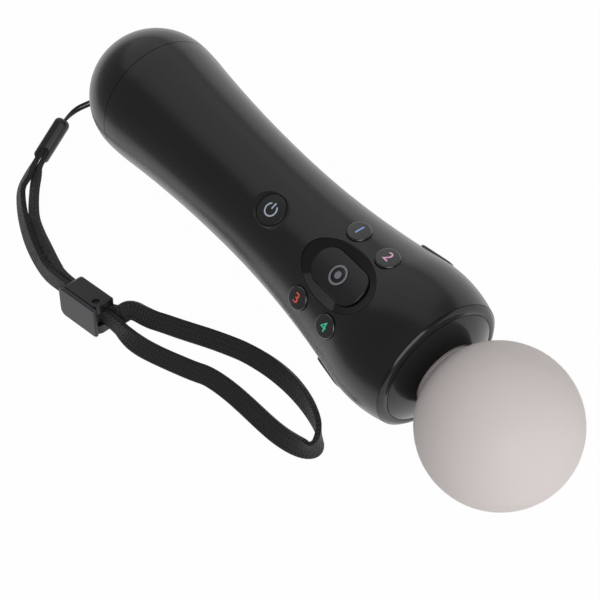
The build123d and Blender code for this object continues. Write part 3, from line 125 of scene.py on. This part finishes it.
def buildGrainGroup():
    # fine moulded grain: two sizes of cell on each other
    coarseScale = 0.25
    group, given, put = newGroup(
        "mouldedGrain",
        [("Vector", "Vector", None), ("Scale", "Float", 2500.0), ("Coarse", "Float", 0.3)],
        [("Height", "Float")],
    )
    fine = group.nodes.new("ShaderNodeTexNoise")
    fine.inputs["Detail"].default_value = 2.0
    coarse = group.nodes.new("ShaderNodeTexNoise")
    coarse.inputs["Detail"].default_value = 1.0
    for texture in (fine, coarse):
        group.links.new(given.outputs["Vector"], texture.inputs["Vector"])
    group.links.new(given.outputs["Scale"], fine.inputs["Scale"])
    group.links.new(mathNode(group, "MULTIPLY", given.outputs["Scale"], coarseScale), coarse.inputs["Scale"])
    mixed = mathNode(
        group, "MULTIPLY_ADD", coarse.outputs["Fac"], given.outputs["Coarse"], fine.outputs["Fac"])
    group.links.new(mixed, put.inputs["Height"])
    return group


def buildBraidGroup():
    # V-shaped stitches in columns along a tape or cord: U runs along it and V across it, in metres
    group, given, put = newGroup(
        "braidStitch",
        [("Vector", "Vector", None), ("Column", "Float", 0.00062), ("Pitch", "Float", 0.0008),
         ("Skew", "Float", 0.9)],
        [("Height", "Float"), ("GapShade", "Float")],
    )
    split = group.nodes.new("ShaderNodeSeparateXYZ")
    group.links.new(given.outputs["Vector"], split.inputs[0])
    across = mathNode(group, "DIVIDE", split.outputs["Y"], given.outputs["Column"])
    along = mathNode(group, "DIVIDE", split.outputs["X"], given.outputs["Pitch"])
    zigzag = mathNode(group, "PINGPONG", across, 1.0)
    phase = mathNode(group, "MULTIPLY_ADD", zigzag, given.outputs["Skew"], along)
    wave = mathNode(group, "SINE", mathNode(group, "MULTIPLY", phase, 2 * pi))
    stitch = mathNode(group, "MULTIPLY_ADD", wave, 0.5, 0.5)
    groove = mathNode(group, "ABSOLUTE", mathNode(group, "SINE", mathNode(group, "MULTIPLY", across, pi)))
    groove = mathNode(group, "POWER", groove, 0.5)
    height = mathNode(group, "MULTIPLY", stitch, groove)
    group.links.new(height, put.inputs["Height"])
    # the gap output is how deep each point lies between stitches; it is used only to paint shade into those
    # dips
    group.links.new(mathNode(group, "SUBTRACT", 1.0, height), put.inputs["GapShade"])
    return group


unevenFinish = buildUnevenGroup()
mouldedGrain = buildGrainGroup()
braidStitch = buildBraidGroup()


# materials

def newMaterial(name):
    material = bpy.data.materials.new(name)
    material.use_nodes = True
    tree = material.node_tree
    shader = tree.nodes["Principled BSDF"]
    return material, tree, shader


def placeGroup(tree, group, values):
    made = tree.nodes.new("ShaderNodeGroup")
    made.node_tree = group
    for title, value in values.items():
        if isinstance(value, bpy.types.NodeSocket):
            tree.links.new(value, made.inputs[title])
        else:
            made.inputs[title].default_value = value
    return made


def linear(red, green, blue):
    # a colour as it looks on screen, out of 255, to the value that a shader takes
    def one(value):
        value /= 255
        return value / 12.92 if value <= 0.04045 else ((value + 0.055) / 1.055) ** 2.4
    return (one(red), one(green), one(blue), 1)


grainDepth = 0.00003


def moulded(name, look):
    # plastic, rubber, metal or glass: one colour with uneven gloss and a fine grain
    material, tree, shader = newMaterial(name)
    place = tree.nodes.new("ShaderNodeTexCoord").outputs["Object"]
    uneven = placeGroup(tree, unevenFinish, {
        "Vector": place, "Colour": look["colour"], "Shade": look.get("shade", 0.06),
        "Scale": look.get("patch", 70.0), "Roughness": look["roughness"], "Spread": look.get("spread", 0.08)})
    grain = placeGroup(tree, mouldedGrain, {
        "Vector": place, "Scale": look.get("grain", 2600.0)})
    bump = tree.nodes.new("ShaderNodeBump")
    bump.inputs["Strength"].default_value = look.get("strength", 0.25)
    bump.inputs["Distance"].default_value = grainDepth
    tree.links.new(grain.outputs["Height"], bump.inputs["Height"])
    tree.links.new(uneven.outputs["Colour"], shader.inputs["Base Color"])
    tree.links.new(uneven.outputs["Roughness"], shader.inputs["Roughness"])
    tree.links.new(bump.outputs["Normal"], shader.inputs["Normal"])
    shader.inputs["Metallic"].default_value = look.get("metal", 0.0)
    shader.inputs["IOR"].default_value = look.get("ior", 1.48)
    shader.inputs["Coat Weight"].default_value = look.get("coat", 0.0)
    shader.inputs["Coat Roughness"].default_value = look.get("coatRoughness", 0.1)
    shader.inputs["Subsurface Weight"].default_value = look.get("soft", 0.0)
    shader.inputs["Subsurface Scale"].default_value = look.get("softDepth", 0.002)
    shader.inputs["Subsurface Radius"].default_value = (1.0, 0.97, 0.95)
    shader.inputs["Transmission Weight"].default_value = look.get("clear", 0.0)
    shader.inputs["Sheen Weight"].default_value = look.get("sheen", 0.0)
    return material


def braided(name, look):
    # woven yarn: stitches from the UV map, which runs along the strap, with fuzz on top; the dips between
    # stitches get painted shade
    material, tree, shader = newMaterial(name)
    along = tree.nodes.new("ShaderNodeUVMap")
    along.uv_map = "along"
    stitch = placeGroup(tree, braidStitch, {
        "Vector": along.outputs["UV"], "Column": look["column"], "Pitch": look["pitch"],
        "Skew": look["skew"]})
    uneven = placeGroup(tree, unevenFinish, {
        "Vector": tree.nodes.new("ShaderNodeTexCoord").outputs["Object"], "Colour": look["colour"],
        "Shade": look["shade"], "Scale": look["patch"], "Roughness": look["roughness"],
        "Spread": look["spread"]})
    # painted shade: the colour darkens towards the gap colour in the dips between stitches
    gapShade = tree.nodes.new("ShaderNodeMix")
    gapShade.data_type = "RGBA"
    tree.links.new(stitch.outputs["GapShade"], gapShade.inputs["Factor"])
    tree.links.new(uneven.outputs["Colour"], gapShade.inputs["A"])
    gapShade.inputs["B"].default_value = look["gapShadeColour"]
    fuzz = placeGroup(tree, mouldedGrain, {
        "Vector": tree.nodes.new("ShaderNodeTexCoord").outputs["Object"], "Scale": look["grain"],
        "Coarse": look["coarse"]})
    height = mathNode(tree, "MULTIPLY_ADD", fuzz.outputs["Height"], look["fuzz"], stitch.outputs["Height"])
    bump = tree.nodes.new("ShaderNodeBump")
    bump.inputs["Strength"].default_value = look["strength"]
    bump.inputs["Distance"].default_value = look["depth"]
    tree.links.new(height, bump.inputs["Height"])
    tree.links.new(gapShade.outputs["Result"], shader.inputs["Base Color"])
    tree.links.new(uneven.outputs["Roughness"], shader.inputs["Roughness"])
    tree.links.new(bump.outputs["Normal"], shader.inputs["Normal"])
    shader.inputs["Sheen Weight"].default_value = look["sheen"]
    return material


finishes = {
    "satinShell": {"colour": (0.0055, 0.0055, 0.006, 1), "roughness": 0.27, "spread": 0.05, "strength": 0.12,
                   "sheen": 0.06},
    "glossBezel": {"colour": (0.0016, 0.0016, 0.0018, 1), "roughness": 0.05, "spread": 0.02,
                   "strength": 0.02},
    "thumbPlastic": {"colour": (0.009, 0.009, 0.0098, 1), "roughness": 0.36, "spread": 0.05, "strength": 0.1},
    "marbleButton": {"colour": (0.009, 0.009, 0.010, 1), "roughness": 0.16, "spread": 0.04, "coat": 0.8,
                     "coatRoughness": 0.05, "strength": 0.04},
    "trimPlastic": {"colour": (0.006, 0.006, 0.0065, 1), "roughness": 0.15, "spread": 0.04, "strength": 0.05},
    "frostedBall": {"colour": linear(238, 226, 222), "roughness": 0.62, "spread": 0.05, "shade": 0.015,
                    "patch": 45.0, "soft": 0.4, "softDepth": 0.006, "strength": 0.12, "sheen": 0.1},
    "naturalPlastic": {"colour": linear(120, 120, 118), "roughness": 0.5},
    "solderMask": {"colour": linear(24, 74, 44), "roughness": 0.35, "coat": 0.3, "grain": 900.0},
    "chipResin": {"colour": linear(34, 34, 36), "roughness": 0.5, "grain": 3200.0, "strength": 0.4},
    "clearResin": {"colour": (0.93, 0.94, 0.95, 1), "roughness": 0.08, "clear": 0.9, "ior": 1.49},
    "greyNylon": {"colour": linear(92, 93, 96), "roughness": 0.55, "strength": 0.4},
    "silicone": {"colour": linear(128, 128, 130), "roughness": 0.6, "soft": 0.1},
    "platedSteel": {"colour": linear(186, 187, 190), "roughness": 0.28, "metal": 1.0, "spread": 0.12},
    "goldPlate": {"colour": linear(214, 176, 104), "roughness": 0.25, "metal": 1.0},
    "cellWrap": {"colour": linear(58, 62, 78), "roughness": 0.3, "coat": 0.4, "patch": 120.0},
    "motorCan": {"colour": linear(160, 160, 163), "roughness": 0.33, "metal": 1.0, "spread": 0.15},
    "sintered": {"colour": linear(150, 136, 110), "roughness": 0.5, "metal": 1.0, "grain": 1500.0,
                 "strength": 0.5},
    "blackSteel": {"colour": (0.03, 0.03, 0.032, 1), "roughness": 0.35, "metal": 1.0},
    "sleeveRubber": {"colour": (0.012, 0.012, 0.013, 1), "roughness": 0.36, "strength": 0.25, "sheen": 0.05},
    "lockPlastic": {"colour": (0.009, 0.009, 0.01, 1), "roughness": 0.3, "strength": 0.15},
    "leverPlate": {"colour": (0.034, 0.034, 0.04, 1), "roughness": 0.36, "strength": 0.12},
}
looks = {name: moulded(name, values) for name, values in finishes.items()}

braidShared = {"patch": 240.0, "shade": 0.25, "spread": 0.15, "grain": 5200.0, "coarse": 0.5}
# each gap colour is painted shade in the dips between stitches, not a second yarn colour
braids = {
    "tapeBraid": {"colour": (0.014, 0.0135, 0.0135, 1), "gapShadeColour": (0.0015, 0.0015, 0.0015, 1),
                  "roughness": 0.6, "column": 0.00075, "pitch": 0.0011, "skew": 0.45, "fuzz": 0.5,
                  "strength": 1.0, "depth": 0.0002, "sheen": 0.1},
    "cordBraid": {"colour": (0.007, 0.007, 0.0075, 1), "gapShadeColour": (0.002, 0.002, 0.002, 1),
                  "roughness": 0.22, "column": 0.0004, "pitch": 0.0006, "skew": 0.8, "fuzz": 0.3,
                  "strength": 0.5, "depth": 0.00005, "sheen": 0.1},
}
for name, values in braids.items():
    looks[name] = braided(name, {**braidShared, **values})

finishOfNode = {
    "satinShell": ["front_shell", "rear_shell", "end_cap", "trigger"],
    "glossBezel": ["main_bezel"],
    "thumbPlastic": ["main_button", "home_button"],
    "marbleButton": ["action_button_1", "action_button_2", "action_button_3", "action_button_4",
                     "side_button_left", "side_button_right"],
    "trimPlastic": ["trim_ring", "collar"],
    "frostedBall": ["light_ball"],
    "naturalPlastic": ["ball_retainer"],
    "solderMask": ["main_board", "led_board", "port_board"],
    "chipResin": ["processor", "radio_module", "motion_sensors", "power_chip", "side_switches",
                  "trigger_sensor"],
    "clearResin": ["light_guide", "rgb_led"],
    "greyNylon": ["inner_frame", "motor_clip"],
    "silicone": ["button_mat"],
    "platedSteel": ["shell_screws", "frame_screws", "strap_bar", "trigger_pin", "trigger_spring", "usb_socket",
                    "ext_socket", "trigger_magnet"],
    "blackSteel": ["strap_lock_pin"],
    "goldPlate": ["charge_contacts"],
    "cellWrap": ["battery"],
    "motorCan": ["rumble_motor"],
    "sintered": ["rumble_weight"],
    "sleeveRubber": ["strap_sleeve"],
    "lockPlastic": ["strap_lock_body"],
    "leverPlate": ["strap_lock_lever"],
    "tapeBraid": ["strap_tape"],
    "cordBraid": ["strap_cord"],
}
for finish, members in finishOfNode.items():
    for member in members:
        mesh = nodes[member].data
        mesh.materials.clear()
        mesh.materials.append(looks[finish])
print("finishes placed")


# strap: x, y and z of the points that each line is led by, in metres

cordLook = {"diameter": 0.001, "sides": 12, "exit": (-0.09688, -0.00526, 0.01292)}
cordPoints = [
    (-0.09302, -0.00532, 0.01484), (-0.09727, -0.00657, 0.01254), (-0.10122, -0.00738, 0.01020),
    (-0.10807, -0.01248, 0.00630), (-0.11394, -0.01883, 0.00430), (-0.11677, -0.02345, 0.00400),
    (-0.11746, -0.02869, 0.00429), (-0.11667, -0.03210, 0.00429), (-0.11572, -0.03435, 0.00479),
    (-0.11735, -0.03472, 0.00280), (-0.11748, -0.03229, 0.00329), (-0.11827, -0.02888, 0.00329),
    (-0.11803, -0.02315, 0.00400), (-0.11506, -0.01817, 0.00430), (-0.10893, -0.01152, 0.00630),
    (-0.10178, -0.00622, 0.01020), (-0.09792, -0.00437, 0.01254), (-0.09367, -0.00312, 0.01484),
]

tapeLook = {"width": 0.006, "thick": 0.00178, "edgeRound": 0.0003, "lift": 0.00003,
            "exit": (-0.1149, -0.04160, 0.00379)}
# x, y, z and roll in degrees: a roll of 0 lies flat, 90 stands on its edge
tapePoints = [
    (-0.11687, -0.03615, 0.00437, 50), (-0.11474, -0.04541, 0.00437, 50), (-0.11390, -0.04960, 0.00336, 34),
    (-0.11310, -0.05480, 0.00300, 42), (-0.10770, -0.05880, 0.00278, 41), (-0.10190, -0.06180, 0.00265, 39),
    (-0.09570, -0.06420, 0.00265, 39), (-0.08850, -0.06600, 0.00280, 42), (-0.08010, -0.06700, 0.00341, 49),
    (-0.07050, -0.06516, 0.00634, 52), (-0.04456, -0.06026, 0.00634, 52), (-0.03970, -0.06090, 0.00371, 30),
    (-0.03480, -0.06030, 0.00203, 12), (-0.02870, -0.05840, 0.00108, 3), (-0.02210, -0.05600, 0.00082, 0),
    (-0.01460, -0.05310, 0.00082, 0), (-0.00970, -0.05080, 0.00082, 0), (-0.00160, -0.04920, 0.00082, 0),
    (0.00630, -0.04840, 0.00093, 2), (0.01420, -0.04790, 0.00108, 5), (0.02130, -0.04720, 0.00123, 8),
    (0.02730, -0.04580, 0.00180, 20), (0.03170, -0.04410, 0.00262, 42), (0.03420, -0.04210, 0.00310, 70),
    (0.03360, -0.03990, 0.00308, 97), (0.03070, -0.03710, 0.00304, 118), (0.02620, -0.03550, 0.00281, 131),
    (0.02060, -0.03450, 0.00246, 143), (0.01390, -0.03420, 0.00202, 155), (0.00680, -0.03480, 0.00153, 166),
    (0.00010, -0.03610, 0.00113, 174), (-0.00650, -0.03790, 0.00088, 179), (-0.01240, -0.04020, 0.00083, 180),
    (-0.01880, -0.04290, 0.00083, 180), (-0.02800, -0.04720, 0.00083, 180), (-0.03420, -0.04990, 0.00108, 177),
    (-0.03920, -0.05235, 0.00185, 168), (-0.04600, -0.05420, 0.00430, 146), (-0.04580, -0.05909, 0.00526, 128),
    (-0.07076, -0.06381, 0.00526, 128), (-0.07815, -0.06325, 0.00373, 131), (-0.08535, -0.06225, 0.00303, 139),
    (-0.09260, -0.06095, 0.00278, 142), (-0.09900, -0.05910, 0.00262, 144), (-0.10390, -0.05575, 0.00262, 144),
    (-0.10815, -0.05195, 0.00270, 144), (-0.11110, -0.04820, 0.00315, 148), (-0.11339, -0.04510, 0.00321, 130),
    (-0.11553, -0.03584, 0.00321, 130),
]


stepsPerPoint = 12


def lineThrough(name, points):
    # the smooth line that the points lead, read as the curve draws it
    curve = bpy.data.curves.new(name, "CURVE")
    curve.dimensions = "3D"
    curve.resolution_u = stepsPerPoint
    spline = curve.splines.new("NURBS")
    spline.points.add(len(points) - 1)
    for place, point in zip(spline.points, points):
        place.co = (*point, 1)
    spline.order_u = 3
    spline.use_endpoint_u = True
    piece = bpy.data.objects.new(name, curve)
    scene.collection.objects.link(piece)
    bpy.context.view_layer.update()
    mesh = bpy.data.meshes.new_from_object(piece)
    line = [v.co.copy() for v in mesh.vertices]
    bpy.data.meshes.remove(mesh)
    bpy.data.objects.remove(piece)
    return line


def ringTube(name, centres, widths, section):
    # a closed tube: section points (width way, thickness way) on every ring, UV in metres along and across
    girth = [0.0]
    for a, b in zip(section, section[1:] + section[:1]):
        girth.append(girth[-1] + (Vector(b) - Vector(a)).length)
    vertices, faces, uvs, reach = [], [], [], 0.0
    sides = len(section)
    alongs = []
    for number, (centre, width) in enumerate(zip(centres, widths)):
        before = centres[max(0, number - 1)]
        after = centres[min(len(centres) - 1, number + 1)]
        ahead = (after - before).normalized()
        width = (width - ahead * width.dot(ahead)).normalized()
        thick = ahead.cross(width)
        reach += (centre - before).length
        alongs.append(reach)
        vertices += [centre + width * a + thick * b for a, b in section]
    for ring in range(len(centres) - 1):
        for side in range(sides):
            following = (side + 1) % sides
            faces.append((ring * sides + side, ring * sides + following,
                          (ring + 1) * sides + following, (ring + 1) * sides + side))
            uvs += [(alongs[ring], girth[side]), (alongs[ring], girth[side + 1]),
                    (alongs[ring + 1], girth[side + 1]), (alongs[ring + 1], girth[side])]
    last = (len(centres) - 1) * sides
    faces.append(tuple(reversed(range(sides))))
    faces.append(tuple(range(last, last + sides)))
    uvs += [(0, 0)] * (2 * sides)
    mesh = bpy.data.meshes.new(name)
    mesh.from_pydata(vertices, [], faces)
    layer = mesh.uv_layers.new(name="along")
    for place, uv in zip(layer.data, uvs):
        place.uv = uv
    for face in mesh.polygons:
        face.use_smooth = len(face.vertices) == 4
    piece = bpy.data.objects.new(name, mesh)
    scene.collection.objects.link(piece)
    return piece, reach


# thin cord: both strands are one line that turns round inside the sleeve
cordLine = lineThrough("cordRoute", cordPoints)
radius, sides = cordLook["diameter"] / 2, cordLook["sides"]
roundSection = [(radius * cos(2 * pi * n / sides), radius * sin(2 * pi * n / sides)) for n in range(sides)]
thinCord, cordLength = ringTube("thinCord", cordLine, [Vector((0, 0, 1))] * len(cordLine), roundSection)
thinCord.data.materials.append(looks["cordBraid"])


def tapeSection(width, thick, corner):
    # flat with rounded edges, and a few points across each flat
    flatShares = (0.72, 0.5, 0.2, -0.2, -0.5, -0.72)
    half, deep = width / 2, thick / 2
    points = []
    for x, y, start in ((half, deep, 0), (-half, deep, 90), (-half, -deep, 180), (half, -deep, 270)):
        middle = (x - corner * (1 if x > 0 else -1), y - corner * (1 if y > 0 else -1))
        for turn in (0, 30, 60, 90):
            angle = radians(start + turn)
            points.append((middle[0] + corner * cos(angle), middle[1] + corner * sin(angle)))
        if start in (0, 180):
            side = 1 if start == 0 else -1
            points += [(side * (half - corner) * share, y) for share in flatShares]
    return points


def restHeight(turn):
    # how high the tape's middle is when its lowest edge touches the surface
    return tapeLook["width"] / 2 * abs(sin(radians(turn))) + tapeLook["thick"] / 2 * abs(cos(radians(turn)))


tapeLine = lineThrough("tapeRoute", [point[:3] for point in tapePoints])
tapeTurns = [place.x for place in lineThrough("tapeTurns", [(turn, 0, 0) for x, y, z, turn in tapePoints])]
tapeWidths = []
for step, turn in enumerate(tapeTurns):
    ahead = (tapeLine[min(step + 1, len(tapeLine) - 1)] - tapeLine[max(step - 1, 0)]).normalized()
    left = Vector((-ahead.y, ahead.x, 0)).normalized()
    tapeWidths.append(left * cos(radians(turn)) + ahead.cross(left) * sin(radians(turn)))
    tapeLine[step].z = max(tapeLine[step].z, restHeight(turn) + tapeLook["lift"])
braidedTape, tapeLength = ringTube(
    "braidedTape", tapeLine, tapeWidths,
    tapeSection(tapeLook["width"], tapeLook["thick"], tapeLook["edgeRound"]))
braidedTape.data.materials.append(looks["tapeBraid"])
print("strap: cord", round(cordLength, 4), "tape", round(tapeLength, 4), "rings", len(tapeLine))

for piece, replaced, slotName in ((thinCord, "strap_cord", "cord"), (braidedTape, "strap_tape", "tape")):
    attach(piece, "controller")
    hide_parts(replaced)


# marks on the buttons: plain numbers and signs

marks = {
    "size": 0.0044, "thick": 0.00006,
    "colours": {"sky": linear(150, 190, 255), "rose": linear(255, 190, 228), "coral": linear(244, 104, 84),
                "mint": linear(80, 222, 180), "frost": linear(186, 196, 216), "ash": linear(128, 128, 138)},
}
paints = {}
for name, colour in marks["colours"].items():
    paints[name] = moulded(
        name + "Paint", {"colour": colour, "roughness": 0.4, "strength": 0.05, "shade": 0.03})


# how each face domes: the crown is the drop from its middle to the radius
actionFace = {"tilt": 30, "crown": 0.00025, "radius": 0.00295, "lift": 0.00004}
homeFace = {"crown": 0.00012, "radius": 0.0042, "lift": 0.00003}
mainFace = {"tilt": 8.3, "crown": 0.0001, "radius": 0.006, "lift": 0.00002}


def onFace(piece, node, up, along, face):
    # lays a flat mark on a button's slightly domed face
    centre = faceCentre(node, up, along)
    place = frameOf(centre, along, up)
    for vertex in piece.data.vertices:
        x, y, z = vertex.co
        z += face["lift"] - face["crown"] * (x * x + y * y) / face["radius"]**2
        vertex.co = place @ Vector((x, y, z))
    piece.data.update()


def textMark(name, words):
    deselectAll()
    bpy.ops.object.text_add(location=(0, 0, 0))
    piece = bpy.context.object
    piece.name = name
    piece.data.body = words
    piece.data.size = marks["size"]
    piece.data.align_x = "CENTER"
    piece.data.align_y = "CENTER"
    piece.data.extrude = marks["thick"] / 2
    bpy.ops.object.convert(target="MESH")
    # extra corners let the long strokes follow the domed face
    bpy.ops.object.mode_set(mode="EDIT")
    bpy.ops.mesh.select_all(action="SELECT")
    bpy.ops.mesh.subdivide(number_cuts=3)
    bpy.ops.object.mode_set(mode="OBJECT")
    return piece


def lineMark(name, strokes, halfWidth):
    # flat strokes of even width with round ends
    curve = bpy.data.curves.new(name, "CURVE")
    curve.dimensions = "3D"
    curve.bevel_depth = halfWidth
    curve.bevel_resolution = 3
    curve.use_fill_caps = True
    for stroke in strokes:
        spline = curve.splines.new("POLY")
        spline.points.add(len(stroke) - 1)
        for place, (x, y) in zip(spline.points, stroke):
            place.co = (x, y, 0, 1)
    piece = bpy.data.objects.new(name, curve)
    scene.collection.objects.link(piece)
    makeActive(piece)
    bpy.ops.object.convert(target="MESH")
    for vertex in piece.data.vertices:
        vertex.co.z *= marks["thick"] / halfWidth
    return piece


def buttonUp(side):
    tilt = radians(actionFace["tilt"])
    return Vector((0, side * sin(tilt), cos(tilt)))


def arcStroke(radius, start, end, step):
    # degrees, counted from the mark's own right
    return [(radius * cos(radians(a)), radius * sin(radians(a))) for a in range(start, end + 1, step)]


for number, (paint, side) in enumerate((("sky", 1), ("rose", 1), ("coral", -1), ("mint", -1)), start=1):
    mark = textMark(f"markNumber{number}", str(number))
    onFace(mark, f"action_button_{number}", buttonUp(side), Vector((1, 0, 0)), actionFace)
    mark.data.materials.append(paints[paint])
    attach(mark, f"action_button_{number}")

powerLook = {"radius": 0.0019, "arcFrom": 125, "arcTo": 415, "stemFrom": 0.0003, "stemTo": 0.0023,
             "halfWidth": 0.00024}
powerArc = arcStroke(powerLook["radius"], powerLook["arcFrom"], powerLook["arcTo"], 10)
powerStem = [(0, powerLook["stemFrom"]), (0, powerLook["stemTo"])]
powerMark = lineMark("markPower", [powerArc, powerStem], powerLook["halfWidth"])
onFace(powerMark, "home_button", Vector((0, 0, 1)), Vector((1, 0, 0)), homeFace)
powerMark.data.materials.append(paints["frost"])
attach(powerMark, "home_button")

mainTilt = radians(mainFace["tilt"])
mainUp = Vector((-sin(mainTilt), 0, cos(mainTilt)))
mainAlong = Vector((cos(mainTilt), 0, sin(mainTilt)))
ringLook = {"radius": 0.0026, "dot": 0.0008, "halfWidth": 0.00034}
dotStroke = arcStroke(ringLook["dot"], 0, 360, 30) + arcStroke(ringLook["dot"] / 2, 0, 360, 30)
ringStroke = arcStroke(ringLook["radius"], 0, 360, 10)
mainMark = lineMark("markRing", [ringStroke, dotStroke], ringLook["halfWidth"])
onFace(mainMark, "main_button", mainUp, mainAlong, mainFace)
mainMark.data.materials.append(paints["ash"])
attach(mainMark, "main_button")
print("marks placed")


# floor, lights and camera

stageLook = {"size": 6, "paper": (0.86, 0.86, 0.86, 1), "roughness": 0.9, "glow": 0.98, "world": 0.28}
deselectAll()
bpy.ops.mesh.primitive_plane_add(size=stageLook["size"], location=(0, 0, 0))
floor = bpy.context.object
floor.name = "floor"
floorPaper, tree, shader = newMaterial("floorPaper")
shader.inputs["Base Color"].default_value = stageLook["paper"]
shader.inputs["Roughness"].default_value = stageLook["roughness"]
glow = tree.nodes.new("ShaderNodeEmission")
path = tree.nodes.new("ShaderNodeLightPath")
blend = tree.nodes.new("ShaderNodeMixShader")
seen = mathNode(tree, "MAXIMUM", path.outputs["Is Camera Ray"], path.outputs["Is Glossy Ray"])
seen = mathNode(tree, "MAXIMUM", seen, path.outputs["Is Transmission Ray"])
share = mathNode(tree, "MULTIPLY", seen, stageLook["glow"])
tree.links.new(share, blend.inputs["Fac"])
tree.links.new(shader.outputs["BSDF"], blend.inputs[1])
tree.links.new(glow.outputs["Emission"], blend.inputs[2])
tree.links.new(blend.outputs["Shader"], tree.nodes["Material Output"].inputs["Surface"])
floor.data.materials.append(floorPaper)

world = bpy.data.worlds.new("studio")
scene.world = world
world.use_nodes = True
world.node_tree.nodes["Background"].inputs["Color"].default_value = (1, 1, 1, 1)
world.node_tree.nodes["Background"].inputs["Strength"].default_value = stageLook["world"]


lamps = {
    "keyFront": {"place": (0.95, -0.1, 0.7), "width": 1.0, "height": 1.0, "power": 7.4},
    "fillAbove": {"place": (-0.45, 0.55, 0.6), "width": 1.3, "height": 1.1, "power": 2.1},
}
lampAim = Vector((0, 0, 0.02))
for name, values in lamps.items():
    lamp = bpy.data.lights.new(name, "AREA")
    lamp.shape = "RECTANGLE"
    lamp.size = values["width"]
    lamp.size_y = values["height"]
    lamp.energy = values["power"]
    piece = bpy.data.objects.new(name, lamp)
    scene.collection.objects.link(piece)
    piece.location = values["place"]
    piece.rotation_euler = (lampAim - Vector(values["place"])).to_track_quat("-Z", "Y").to_euler()

view = {"place": (0.2256, 0.0157, 0.3837), "back": (0.5137, 0.0688, 0.8552), "up": (-0.6072, 0.7334, 0.3057),
        "lens": 90.3, "sensor": 36.0, "clip": 0.01}
cameraData = bpy.data.cameras.new("photoCamera")
cameraData.lens = view["lens"]
cameraData.sensor_width = view["sensor"]
cameraData.clip_start = view["clip"]
camera = bpy.data.objects.new("photoCamera", cameraData)
scene.collection.objects.link(camera)
back = Vector(view["back"]).normalized()
right = Vector(view["up"]).cross(back).normalized()
camera.matrix_world = Matrix.Translation(Vector(view["place"])) @ Matrix(
    (right, back.cross(right), back)).transposed().to_4x4()
scene.camera = camera
scene.view_settings.view_transform = "Standard"
print("stage set")
